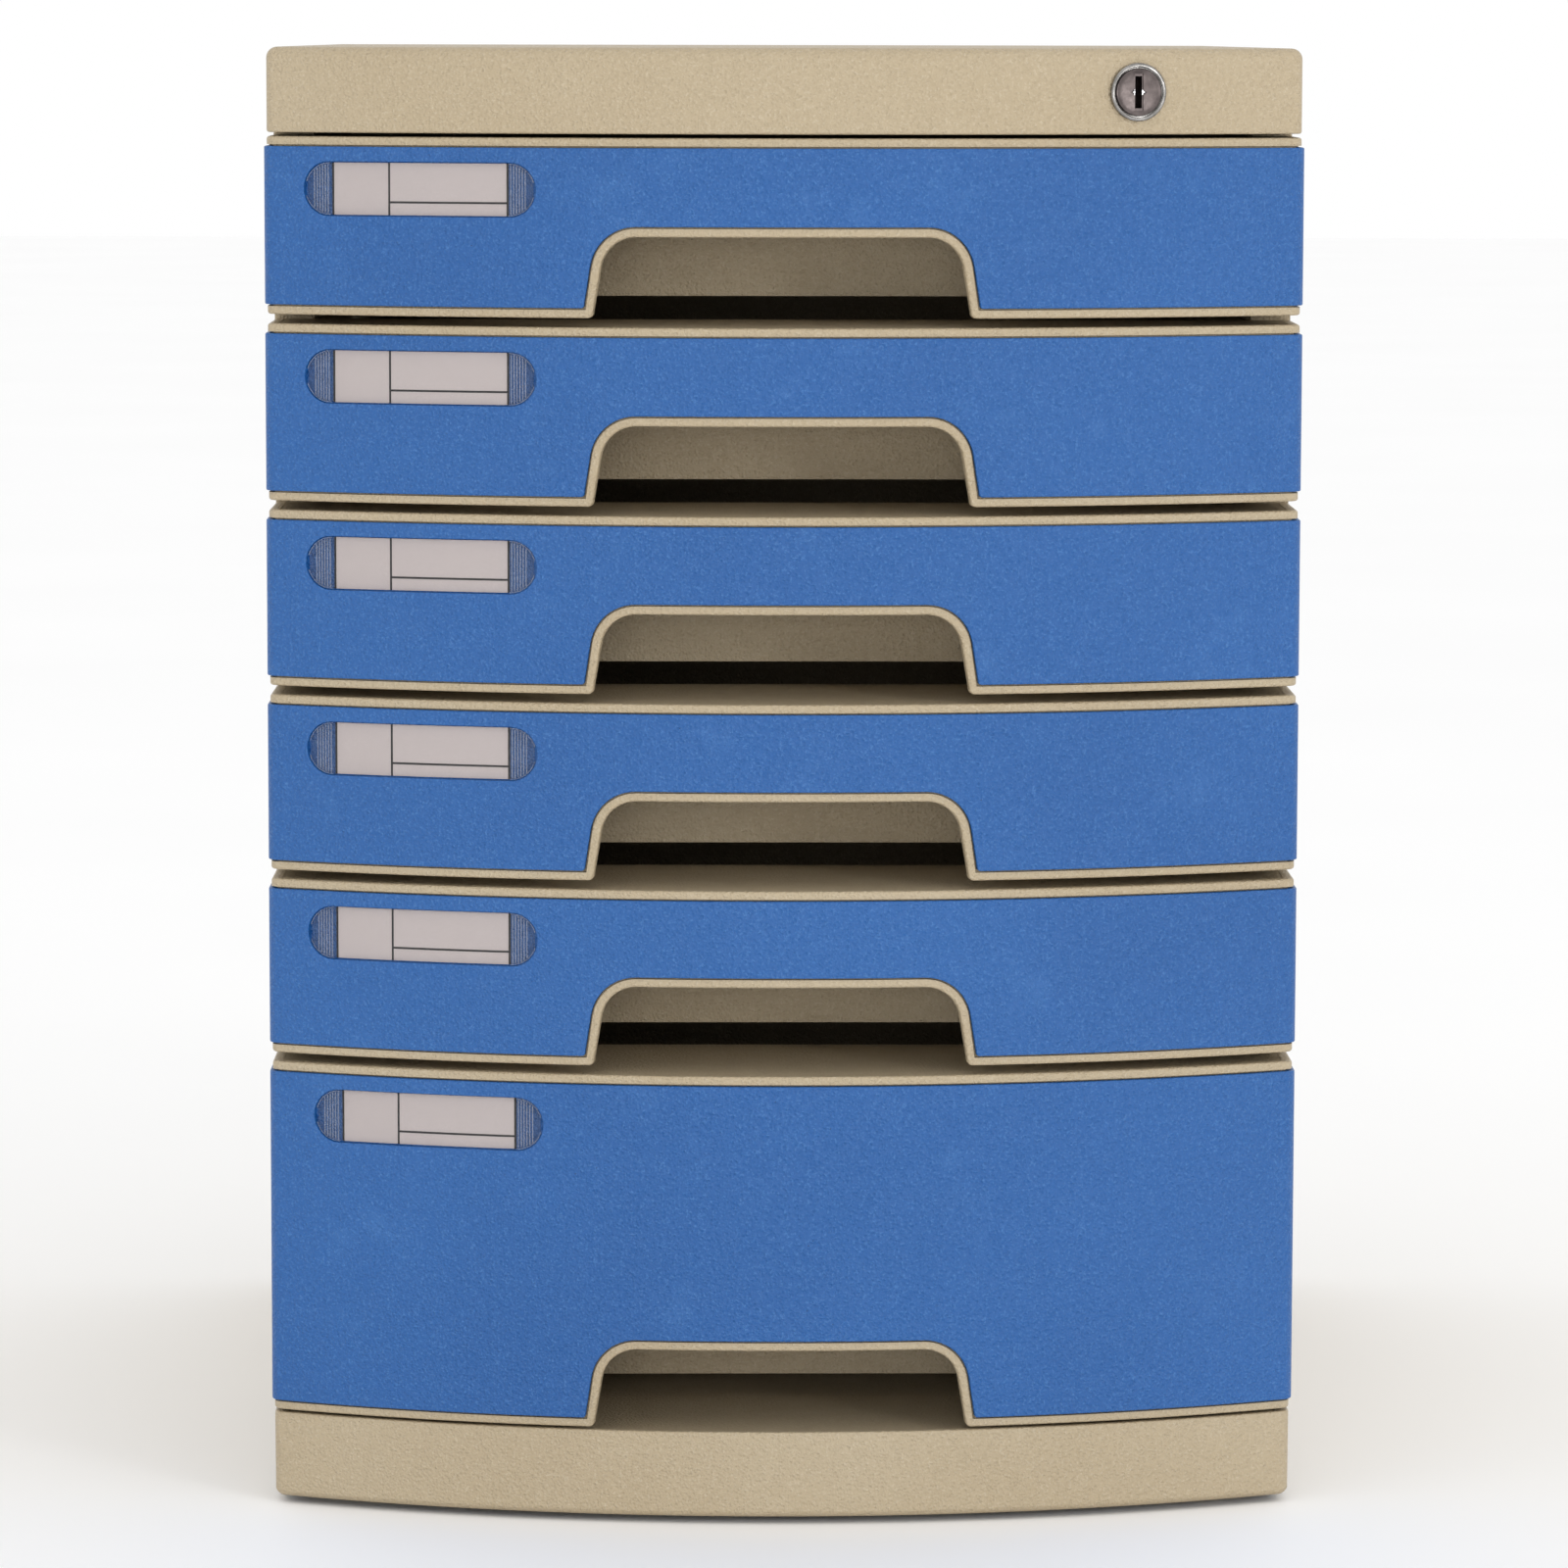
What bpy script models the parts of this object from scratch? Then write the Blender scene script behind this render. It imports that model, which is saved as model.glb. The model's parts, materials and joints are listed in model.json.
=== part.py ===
"""Bow-fronted desktop file cabinet in moulded plastic: shallow drawers over a deep one, with one lock."""

import math

import bmesh
import bpy
from mathutils import Matrix, Vector

# Driving sizes, in metres. X runs to the right seen from the front, Y to the back, Z up.
WIDTH = 0.300
DEPTH = 0.390  # from the middle of the bow to the back panel
BOW_RISE = 0.0305  # how far the front's middle stands before its ends
DRAWER_PITCH = 0.0541
SHALLOW_DRAWERS = 5
DEEP_HEAD_H = 0.1039
HEAD_GAP = 0.0027  # open line between two drawer heads
END_GAP = 0.0008  # open line under the cap and over the base
BASE_H = 0.0255
CAP_H = 0.0249
FOOT_H = 0.002

# Clearances
FIT = 0.0003  # between pieces that touch
SLIDE = 0.0008  # beside and behind a sliding piece
CUT = 0.001  # how far a cutter stands past what it cuts
JOIN = 0.001  # how deep joined shapes overlap

# Shell
SKIN = 0.003  # walls of the cap and base
CORNER_R = 0.0035  # upright front corners
REAR_CORNER_R = 0.0025
EDGE_R = 0.003  # rounded top edge of the cap, bottom edge of the base
LEAST_R = 0.0004
BASE_LIP = 0.003
BASE_DISH = 0.001
SIDE_T = 0.0117  # side panel, a flat tube
SIDE_SKIN = 0.0025
STILE = 0.022  # solid front edge of a side panel
REAR_STILE = 0.012
BACK_T = 0.004
TONGUE_H = 0.008
TONGUE_L = 0.090
HEAD_END = 0.033  # depth of a drawer head at the cabinet's side

# Drawer head and tray
RIM_H = 0.00235  # pale rims over and under the coloured panel
PANEL_T = 0.0022
PANEL_PROUD = 0.0008
PANEL_WRAP = 0.012  # how far the panel runs back round the head's ends
HEAD_SKIN = 0.004
DECK_T = 0.0023
WALL_T = 0.002
FLOOR_RISE = 0.0042
TRAY_DROP = 0.0006
TRAY_GAP = 0.001  # between the tray wall and the ledges
LEDGE_W = 0.0068
LEDGE_T = 0.0025
RUNNER_T = 0.002
NIB_H = 0.0015  # the runner's rear nib stops against the ledge's front pad
NIB_L = 0.008
PAD_L = 0.050
REAR_SPACE = 0.004

# Finger cut-out in the head
OPENING_W = 0.1085
OPENING_H = 0.0232
OPENING_R = 0.0105
OPENING_TAPER = 0.002
FLANGE_T = 0.0024

# Label window
LABEL_FROM_SIDE = 0.0446
LABEL_DROP = 0.0126  # from the panel's top edge to the window's middle
LABEL_W = 0.0686
LABEL_H = 0.0158
DEEP_LABEL_SHIFT = 0.0015
WINDOW_T = 0.0013
CARD_W = 0.0526
CARD_H = 0.0150
CARD_T = 0.0003

# Lock and locking bar
LOCK_FROM_SIDE = 0.0490
LOCK_DROP = 0.0125
FLANGE_R = 0.00838
FLANGE_H = 0.0016
BARREL_R = 0.0073
BARREL_L = 0.018
FACE_R = 0.0069
FACE_T = 0.0011
SHAFT_R = 0.0047
TURN_GAP = 0.00015
KEYWAY = (0.0021, 0.0090, 0.0090)  # width, height, depth
KEY_MOUTH = (0.0027, 0.0106, 0.0005)
NUT_R = 0.0091
NUT_T = 0.003
NUT_SIDES = 8
CAM_T = 0.0015
PIN_R = 0.0015
PIN_L = 0.0075
CRANK_R = 0.0055
PIN_SLACK = 0.0004
STRIP_T = 0.0015
STRIP_W = 0.010
GROOVE_D = 0.004
GROOVE_Y = 0.006  # groove's front edge behind the stile's
FLAG_BELOW = 0.0037
FLAG_ABOVE = 0.0089
LUG_Z = 0.020
LUG_H = 0.006
LUG_L = 0.0042
LUG_W = 0.006
HOOK_H = 0.0035
HOOK_L = 0.004
HOOK_CLEAR = 0.0025  # hook above the lug when unlocked
GUIDE_T = 0.0014
GUIDE_H = 0.005
PEG_R = 0.0012

# Feet and screws
FOOT_R = 0.009
FOOT_X = 0.122
FOOT_FRONT = 0.045  # behind the bow's middle
FOOT_REAR = 0.020
BOSS = 0.013
FOOT_PEG = (0.0025, 0.006)
SCREW_R = 0.0014
SCREW_L = 0.010
SCREW_HEAD = (0.0028, 0.0015)
SCREW_SINK = 0.002
SCREW_ROWS = (0.06, 0.5, 0.94)  # heights up the back panel, as shares

# Smoothness
ARC_STEPS = 14
CORNER_STEPS = 3
ROUND = 24
SMALL_ROUND = 12

# Derived
HALF_W = WIDTH / 2
BACK_Y = DEPTH / 2
APEX_Y = PANEL_PROUD - DEPTH / 2
BOW_R = (HALF_W**2 + BOW_RISE**2) / (2 * BOW_RISE)
BOW_CY = APEX_Y + BOW_R
WALL_REAR = APEX_Y + BOW_RISE + HEAD_END
WALL_FRONT = WALL_REAR - WALL_T
STILE_Y = WALL_REAR + SLIDE
SIDE_REAR = BACK_Y - BACK_T - FIT
PANEL_REAR = APEX_Y + BOW_RISE + PANEL_WRAP
RECESS = PANEL_T + FIT - PANEL_PROUD
SIDE_IN = HALF_W - SIDE_T
TRAY_HALF = SIDE_IN - LEDGE_W - TRAY_GAP
TRAY_REAR = BACK_Y - BACK_T - REAR_SPACE
SHALLOW_HEAD_H = DRAWER_PITCH - HEAD_GAP
BASE_TOP = FOOT_H + BASE_H
DEEP_Z = BASE_TOP + END_GAP
SHALLOW_Z = DEEP_Z + DEEP_HEAD_H + HEAD_GAP
CAP_Z = SHALLOW_Z + SHALLOW_DRAWERS * DRAWER_PITCH - HEAD_GAP + END_GAP
CAP_TOP = CAP_Z + CAP_H
GROOVE_Y0 = STILE_Y + GROOVE_Y
STRIP_Y0 = GROOVE_Y0 + SLIDE
LEDGE_Y0 = STILE_Y + STILE + CUT
HOOK_Z = LUG_Z + LUG_H + HOOK_CLEAR
LOCK_X = HALF_W - LOCK_FROM_SIDE
LOCK_Z = CAP_TOP - LOCK_DROP
LOCK_TILT = math.asin(LOCK_X / BOW_R)

CREAM = "cream_plastic"
BLUE = "blue_plastic"
CLEAR = "clear_plastic"
PAPER = "label_paper"
NICKEL = "nickel_plate"
ZINC = "zinc_steel"
RUBBER = "foot_rubber"

FINISHES = {  # linear colour, roughness, metallic, alpha
    CREAM: ((0.552, 0.462, 0.325), 0.55, 0.0, 1.0),
    BLUE: ((0.061, 0.153, 0.397), 0.50, 0.0, 1.0),
    CLEAR: ((0.80, 0.82, 0.85), 0.12, 0.0, 0.35),
    PAPER: ((0.78, 0.76, 0.73), 0.85, 0.0, 1.0),
    NICKEL: ((0.45, 0.43, 0.41), 0.28, 1.0, 1.0),
    ZINC: ((0.52, 0.52, 0.50), 0.42, 1.0, 1.0),
    RUBBER: ((0.035, 0.035, 0.035), 0.80, 0.0, 1.0),
}


def make_finish(name):
    colour, roughness, metallic, alpha = FINISHES[name]
    finish = bpy.data.materials.new(name)
    finish.use_nodes = True
    shader = finish.node_tree.nodes["Principled BSDF"]
    shader.inputs["Base Color"].default_value = (*colour, 1.0)
    shader.inputs["Roughness"].default_value = roughness
    shader.inputs["Metallic"].default_value = metallic
    shader.inputs["Alpha"].default_value = alpha
    return finish


def stack(rings):
    """Closed solid through rings of equal length, each counter-clockwise seen from the last one's side."""
    mesh = bmesh.new()
    loops = [[mesh.verts.new(point) for point in ring] for ring in rings]
    for low, high in zip(loops, loops[1:]):
        for i, vert in enumerate(low):
            j = (i + 1) % len(low)
            mesh.faces.new((vert, low[j], high[j], high[i]))
    mesh.faces.new(reversed(loops[0]))
    mesh.faces.new(loops[-1])
    data = bpy.data.meshes.new("solid")
    mesh.to_mesh(data)
    mesh.free()
    shape = bpy.data.objects.new("solid", data)
    bpy.context.scene.collection.objects.link(shape)
    return shape


def prism(outline, low, high):
    """Plan outline, counter-clockwise from above, drawn up from one height to another."""
    return stack([[(x, y, z) for x, y in outline] for z in (low, high)])


def box(low, high):
    (x0, y0, z0), (x1, y1, z1) = low, high
    return prism([(x0, y0), (x1, y0), (x1, y1), (x0, y1)], z0, z1)


def mirrored_box(side, low, high):
    """Box given for the right-hand side; side -1 puts it on the left."""
    (x0, y0, z0), (x1, y1, z1) = low, high
    x0, x1 = sorted((side * x0, side * x1))
    return box((x0, y0, z0), (x1, y1, z1))


def circle(radius, steps, x=0.0, y=0.0):
    turns = [2 * math.pi * i / steps for i in range(steps)]
    return [(x + radius * math.cos(a), y + radius * math.sin(a)) for a in turns]


def cylinder(radius, low, high, steps=ROUND, x=0.0, y=0.0):
    return prism(circle(radius, steps, x, y), low, high)


def side_prism(profile, left, right):
    """Profile of (y, z) points, counter-clockwise seen from +X, drawn from one x to another."""
    return stack([[(x, y, z) for y, z in profile] for x in (left, right)])


def moved(shape, matrix):
    shape.data.transform(matrix)
    return shape


def combine(shape, operation, *tools):
    """Joins the tools to the shape, or cuts them from it, and removes them."""
    for tool in tools:
        modifier = shape.modifiers.new(operation, "BOOLEAN")
        modifier.operation = operation
        modifier.solver = "EXACT"
        modifier.object = tool
    graph = bpy.context.evaluated_depsgraph_get()
    result = bpy.data.meshes.new_from_object(shape.evaluated_get(graph))
    shape.modifiers.clear()
    shape.data = result
    for tool in tools:
        bpy.data.objects.remove(tool)
    return shape


def join(shape, *tools):
    return combine(shape, "UNION", *tools)


def cut(shape, *tools):
    return combine(shape, "DIFFERENCE", *tools)


def keep(shape, tool):
    return combine(shape, "INTERSECT", tool)


def bow_front(inset, rear, corner=CORNER_R):
    """Plan line from the left rear end, round the bowed front, to the right rear end, moved in by inset."""
    half, radius = HALF_W - inset, BOW_R - inset
    fillet = max(corner - inset, LEAST_R)
    reach, across = radius - fillet, half - fillet
    turn = math.asin(across / reach)
    centre_y = BOW_CY - reach * math.cos(turn)
    right = [(half, rear)]
    for i in range(CORNER_STEPS):
        a = math.pi / 2 - (math.pi / 2 - turn) * i / CORNER_STEPS
        right.append((across + fillet * math.sin(a), centre_y - fillet * math.cos(a)))
    arc = []
    for i in range(ARC_STEPS + 1):
        a = turn * (2 * i / ARC_STEPS - 1)
        arc.append((radius * math.sin(a), BOW_CY - radius * math.cos(a)))
    left = [(-x, y) for x, y in right]
    return left + arc + right[::-1]


def bow_plan(inset, rear, corner=CORNER_R, rear_corner=0.0):
    """Closed plan with the bowed front; the rear corners may be rounded."""
    line = bow_front(inset, rear, corner)
    if not rear_corner:
        return line
    fillet = max(rear_corner - inset, LEAST_R)
    centre = HALF_W - inset - fillet
    turns = [math.pi / 2 * i / CORNER_STEPS for i in range(CORNER_STEPS + 1)]
    right = [(centre + fillet * math.cos(a), rear - fillet + fillet * math.sin(a)) for a in turns]
    left = [(-x, y) for x, y in reversed(right)]
    return left[-1:] + line[1:-1] + right + left[:-1]


def bow_band(outer, inner, rear, low, high):
    """Shell that follows the bow between two insets."""
    ring = bow_front(outer, rear) + bow_front(inner, rear)[::-1]
    return prism(ring, low, high)


def arch(width, height, radius, taper, front, rear, foot=CUT):
    """Cutter through the head's front: sides lean in by taper, top corners rounded, open below."""
    half_top = width / 2 - taper
    right = [(width / 2, -foot), (width / 2, 0.0)]
    turns = [math.pi / 2 * i / (2 * CORNER_STEPS) for i in range(2 * CORNER_STEPS + 1)]
    for a in turns:
        right.append((half_top - radius + radius * math.cos(a), height - radius + radius * math.sin(a)))
    outline = right + [(-x, z) for x, z in reversed(right)]
    return stack([[(x, y, z) for x, z in outline] for y in (rear, front)])


def stadium(width, height):
    """Outline with round ends, counter-clockwise."""
    radius, steps = height / 2, 3 * CORNER_STEPS
    turns = [math.pi * (i / steps - 0.5) for i in range(steps + 1)]
    right = [(width / 2 - radius + radius * math.cos(a), radius * math.sin(a)) for a in turns]
    return right + [(-x, -z) for x, z in right]


def oblong(width, height):
    x, z = width / 2, height / 2
    return [(x, -z), (x, z), (-x, z), (-x, -z)]


def on_bow(x, z):
    """Frame on the bowed front: local X to the right, local Y up, local Z outwards."""
    turn = math.asin(x / BOW_R)
    point = Vector((x, BOW_CY - BOW_R * math.cos(turn), z))
    return Matrix.Translation(point) @ Matrix.Rotation(turn, 4, "Z") @ Matrix.Rotation(math.pi / 2, 4, "X")


def finish_node(shape, name, finish, parent=None):
    shape.name = name
    shape.data.name = name
    shape.data.materials.clear()
    shape.data.materials.append(finishes[finish])
    shape.data.shade_smooth()
    shape.data.set_sharp_from_angle(angle=math.radians(30))
    shape.parent = parent
    return shape


def empty(name, location, rotation=(0.0, 0.0, 0.0)):
    helper = bpy.data.objects.new(name, None)
    helper.location = location
    helper.rotation_euler = rotation
    helper.empty_display_size = 0.02
    bpy.context.scene.collection.objects.link(helper)
    return helper


def copy_of(shape, name, parent):
    twin = bpy.data.objects.new(name, shape.data)
    twin.parent = parent
    bpy.context.scene.collection.objects.link(twin)
    return twin


def make_cap():
    levels = [(CAP_Z, 0.0)]
    for i in range(CORNER_STEPS + 1):
        a = math.pi / 2 * i / CORNER_STEPS
        levels.append((CAP_TOP - EDGE_R + EDGE_R * math.sin(a), EDGE_R * (1 - math.cos(a))))
    rings = []
    for z, inset in levels:
        plan = bow_plan(inset, BACK_Y - inset, rear_corner=REAR_CORNER_R)
        rings.append([(x, y, z) for x, y in plan])
    cap = stack(rings)
    cut(cap, prism(bow_plan(SKIN, BACK_Y - SKIN), CAP_Z - CUT, CAP_TOP - SKIN))
    cut(cap, moved(cylinder(BARREL_R + FIT, -2 * SKIN, 2 * SKIN), on_bow(LOCK_X, LOCK_Z)))
    return join(cap, *tongues(CAP_Z - TONGUE_H, CAP_TOP - SKIN + JOIN))


def tongues(low, high):
    """Plates that stand in the open ends of the side panels, two a side."""
    inner = SIDE_IN + SIDE_SKIN + FIT
    outer = HALF_W - SIDE_SKIN - FIT
    front = STILE_Y + STILE + SLIDE
    rear = SIDE_REAR - REAR_STILE - SLIDE
    plates = []
    for side in (-1, 1):
        for y0 in (front, rear - TONGUE_L):
            plates.append(mirrored_box(side, (inner, y0, low), (outer, y0 + TONGUE_L, high)))
    return plates


def foot_places():
    for x in (-FOOT_X, FOOT_X):
        for y in (APEX_Y + FOOT_FRONT, BACK_Y - FOOT_REAR):
            yield x, y


def make_base():
    levels = []
    for i in range(CORNER_STEPS + 1):
        a = math.pi / 2 * i / CORNER_STEPS
        levels.append((FOOT_H + EDGE_R - EDGE_R * math.cos(a), EDGE_R * (1 - math.sin(a))))
    levels.append((BASE_TOP, 0.0))
    rings = []
    for z, inset in levels:
        plan = bow_plan(inset, BACK_Y - inset, rear_corner=REAR_CORNER_R)
        rings.append([(x, y, z) for x, y in plan])
    base = stack(rings)
    cut(base, prism(bow_plan(SKIN, BACK_Y - SKIN), FOOT_H - CUT, BASE_TOP - BASE_DISH - SKIN))
    cut(base, prism(bow_plan(BASE_LIP, STILE_Y - BASE_LIP), BASE_TOP - BASE_DISH, BASE_TOP + CUT))
    bosses = []
    for x, y in foot_places():
        top = BASE_TOP - BASE_DISH - SKIN + JOIN
        bosses.append(box((x - BOSS, y - BOSS, FOOT_H), (x + BOSS, y + BOSS, top)))
    join(base, *bosses)
    peg_r, peg_h = FOOT_PEG
    low, high = FOOT_H - CUT, FOOT_H + peg_h + FIT
    holes = [cylinder(peg_r + FIT, low, high, SMALL_ROUND, x, y) for x, y in foot_places()]
    cut(base, *holes)
    return join(base, *tongues(BASE_TOP - BASE_DISH - JOIN, BASE_TOP + TONGUE_H))


def make_foot(x, y):
    peg_r, peg_h = FOOT_PEG
    foot = cylinder(FOOT_R, 0.0, FOOT_H - FIT)
    join(foot, cylinder(peg_r, FOOT_H - FIT - JOIN, FOOT_H + peg_h, SMALL_ROUND))
    foot.location = (x, y, 0.0)
    return foot


def drawers():
    """(number, height of the head's underside, head height, label shift), top drawer first."""
    for i in range(SHALLOW_DRAWERS):
        z = SHALLOW_Z + (SHALLOW_DRAWERS - 1 - i) * DRAWER_PITCH
        yield i + 1, z, SHALLOW_HEAD_H, 0.0
    yield SHALLOW_DRAWERS + 1, DEEP_Z, DEEP_HEAD_H, DEEP_LABEL_SHIFT


def runner_under(head_h):
    return head_h - TRAY_DROP - RUNNER_T


def screw_places():
    span = CAP_Z - BASE_TOP
    for side in (-1, 1):
        for share in SCREW_ROWS:
            yield side * (HALF_W - SIDE_T / 2), BASE_TOP + share * span


def back_bore(radius, x, z, front, rear, steps=SMALL_ROUND):
    turned = Matrix.Translation((x, 0.0, z)) @ Matrix.Rotation(math.pi / 2, 4, "X")
    return moved(cylinder(radius, -rear, -front, steps), turned)


def make_side_panel(side):
    low, high = BASE_TOP + FIT, CAP_Z - FIT
    panel = mirrored_box(side, (SIDE_IN, STILE_Y, low), (HALF_W, SIDE_REAR, high))
    hollow_in, hollow_out = SIDE_IN + SIDE_SKIN, HALF_W - SIDE_SKIN
    front, rear = STILE_Y + STILE, SIDE_REAR - REAR_STILE
    cut(panel, mirrored_box(side, (hollow_in, front, low - CUT), (hollow_out, rear, high + CUT)))
    ledges = []
    for _, z, head_h, _ in drawers():
        pad = z + runner_under(head_h) - FIT
        top = pad - NIB_H
        profile = [
            (LEDGE_Y0, top - LEDGE_T),
            (SIDE_REAR - NIB_L, top - LEDGE_T),
            (SIDE_REAR - NIB_L, top),
            (LEDGE_Y0 + PAD_L, top),
            (LEDGE_Y0 + PAD_L, pad),
            (LEDGE_Y0, pad),
        ]
        ends = sorted((side * (SIDE_IN - LEDGE_W), side * (SIDE_IN + JOIN)))
        ledges.append(side_prism(profile, *ends))
    join(panel, *ledges)
    for x, z in screw_places():
        if x * side > 0:
            cut(panel, back_bore(SCREW_R + FIT, x, z, SIDE_REAR - SCREW_L + BACK_T, SIDE_REAR + CUT))
    if side > 0:
        rear = GROOVE_Y0 + groove_width()
        groove = ((SIDE_IN - CUT, GROOVE_Y0, low - CUT), (SIDE_IN + GROOVE_D, rear, high + CUT))
        cut(panel, box(*groove))
        pegs = [guide_peg(y, z, PEG_R + FIT, FIT) for _, z in guide_places() for y in peg_rows()]
        cut(panel, *pegs)
    return panel


def groove_width():
    return STRIP_W + 2 * SLIDE


def guide_places():
    """The two guides sit over the hooks of the second drawer and of the last shallow one."""
    for number, z, _, _ in drawers():
        if number in (2, SHALLOW_DRAWERS):
            yield number, z + HOOK_Z + HOOK_H + HEAD_GAP


def peg_rows():
    return GROOVE_Y0 - GROOVE_Y / 2, GROOVE_Y0 + groove_width() + (STILE - GROOVE_Y - groove_width()) / 2


def guide_peg(y, z, radius, longer=0.0):
    along = Matrix.Translation((0.0, y, z + GUIDE_H / 2)) @ Matrix.Rotation(math.pi / 2, 4, "Y")
    start = SIDE_IN - FIT - JOIN if not longer else SIDE_IN - CUT
    return moved(cylinder(radius, start, SIDE_IN + GROOVE_D + longer, SMALL_ROUND), along)


def make_bar_guide(z):
    front, rear = peg_rows()
    outer = SIDE_IN - FIT
    reach = 2 * PEG_R
    strap = box((outer - GUIDE_T, front - reach, z), (outer, rear + reach, z + GUIDE_H))
    return join(strap, *(guide_peg(y, z, PEG_R) for y in (front, rear)))


def make_back_panel():
    low, high = BASE_TOP + FIT, CAP_Z - FIT
    panel = box((-HALF_W, BACK_Y - BACK_T, low), (HALF_W, BACK_Y, high))
    for x, z in screw_places():
        cut(panel, back_bore(SCREW_HEAD[0] + FIT, x, z, BACK_Y - SCREW_SINK, BACK_Y + CUT, ROUND))
        cut(panel, back_bore(SCREW_R + FIT, x, z, BACK_Y - BACK_T - CUT, BACK_Y - SCREW_SINK + CUT))
    return panel


def make_screw(length, head=SCREW_HEAD):
    """Pan-head screw along -Z, its head's underside at the origin."""
    head_r, head_h = head
    screw = cylinder(head_r, 0.0, head_h, ROUND)
    return join(screw, cylinder(SCREW_R, -length, JOIN / 2, SMALL_ROUND))


def head_arch(grow, front, rear):
    """The finger cut-out, made larger all round by grow."""
    return arch(OPENING_W + 2 * grow, OPENING_H + grow, OPENING_R + grow, OPENING_TAPER, front, rear)


def make_tray(head_h):
    """Head and tray in one moulding; its origin is at the head's underside."""
    front = APEX_Y - CUT
    tray = prism(bow_plan(0.0, WALL_REAR), 0.0, head_h)
    cut(tray, prism(bow_plan(HEAD_SKIN, WALL_FRONT), -CUT, head_h - DECK_T))
    seat = bow_band(-CORNER_R, RECESS, PANEL_REAR + FIT, RIM_H, head_h - RIM_H)
    cut(seat, head_arch(FLANGE_T, front - CORNER_R, WALL_FRONT))
    cut(tray, seat, head_arch(0.0, front, WALL_FRONT - CUT))
    inner = HALF_W - HEAD_SKIN
    cut(tray, box((-inner, WALL_FRONT - JOIN, -CUT), (inner, WALL_REAR + CUT, FLOOR_RISE)))
    top = head_h - TRAY_DROP
    join(tray, box((-TRAY_HALF, WALL_REAR - JOIN, FLOOR_RISE), (TRAY_HALF, TRAY_REAR, top)))
    runner = [
        (WALL_REAR - JOIN, top - RUNNER_T),
        (TRAY_REAR - NIB_L, top - RUNNER_T),
        (TRAY_REAR - NIB_L, top - RUNNER_T - NIB_H),
        (TRAY_REAR, top - RUNNER_T - NIB_H),
        (TRAY_REAR, top),
        (WALL_REAR - JOIN, top),
    ]
    tip, root = SIDE_IN - SLIDE, TRAY_HALF - JOIN
    join(tray, side_prism(runner, root, tip), side_prism(runner, -tip, -root))
    lug_y = STRIP_Y0 + HOOK_L + SLIDE
    join(tray, box((TRAY_HALF - JOIN, lug_y, LUG_Z), (TRAY_HALF + LUG_W, lug_y + LUG_L, LUG_Z + LUG_H)))
    inside = TRAY_HALF - WALL_T
    rear = TRAY_REAR - WALL_T
    return cut(tray, box((-inside, WALL_REAR, FLOOR_RISE + WALL_T), (inside, rear, head_h + CUT)))


def on_label(head_h, shift):
    return on_bow(LABEL_FROM_SIDE - HALF_W + shift, head_h - RIM_H - LABEL_DROP)


def make_front_panel(head_h, shift):
    low, high = RIM_H + FIT, head_h - RIM_H - FIT
    panel = bow_band(-PANEL_PROUD, RECESS - FIT, PANEL_REAR, low, high)
    hole = moved(prism(stadium(LABEL_W, LABEL_H), -PANEL_T * 2, PANEL_T * 2), on_label(head_h, shift))
    return cut(panel, hole, head_arch(FLANGE_T + FIT, APEX_Y - 2 * CORNER_R, WALL_FRONT))


def make_label_card(head_h, shift):
    card = bow_band(RECESS - FIT - CARD_T, RECESS - FIT, PANEL_REAR, RIM_H, head_h)
    outline = prism(oblong(CARD_W, CARD_H), -2 * PANEL_T, 2 * PANEL_T)
    return keep(card, moved(outline, on_label(head_h, shift)))


def make_label_window(head_h, shift):
    inner = RECESS - 2 * FIT - CARD_T
    window = bow_band(inner - WINDOW_T, inner, PANEL_REAR, RIM_H, head_h)
    outline = stadium(LABEL_W - 2 * FIT, LABEL_H - 2 * FIT)
    return keep(window, moved(prism(outline, -PANEL_T * 2, PANEL_T * 2), on_label(head_h, shift)))


def make_barrel():
    barrel = cylinder(FLANGE_R, FIT, FIT + FLANGE_H, 2 * ROUND)
    join(barrel, cylinder(BARREL_R, -BARREL_L, FIT + JOIN / 2))
    face_seat = FIT + FLANGE_H - FACE_T - FIT
    cut(barrel, cylinder(FACE_R + TURN_GAP, face_seat, FIT + FLANGE_H + CUT, 2 * ROUND))
    return cut(barrel, cylinder(SHAFT_R + TURN_GAP, -BARREL_L - CUT, FLANGE_H))


def make_plug():
    top = FIT + FLANGE_H - FIT / 2
    plug = cylinder(FACE_R, top - FACE_T, top, 2 * ROUND)
    join(plug, cylinder(SHAFT_R, -BARREL_L, top - FACE_T + JOIN / 2))
    for width, height, depth in (KEY_MOUTH, KEYWAY):
        cut(plug, box((-width / 2, -height / 2, top - depth), (width / 2, height / 2, top + CUT)))
    return cut(plug, cylinder(SCREW_R + FIT, -BARREL_L - CUT, -BARREL_L + SCREW_L / 2 + FIT, SMALL_ROUND))


def make_nut():
    nut = cylinder(NUT_R, -SKIN - 2 * FIT - NUT_T, -SKIN - 2 * FIT, NUT_SIDES)
    return cut(nut, cylinder(BARREL_R + FIT, -2 * SKIN - 2 * NUT_T, 0.0))


def crank():
    return CRANK_R * math.sqrt(0.5)


def make_cam():
    """Arm behind the plug; its pin points back, up and to the right while unlocked."""
    rear = -BARREL_L - FIT - CAM_T
    arm = prism(oblong(2 * SHAFT_R, 2 * SHAFT_R), rear, rear + CAM_T)
    offset = crank()
    join(arm, cylinder(PIN_R, rear - PIN_L, rear + CAM_T / 2, SMALL_ROUND, offset, offset))
    return cut(arm, cylinder(SCREW_R + FIT, rear - CUT, -BARREL_L, SMALL_ROUND))


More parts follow.
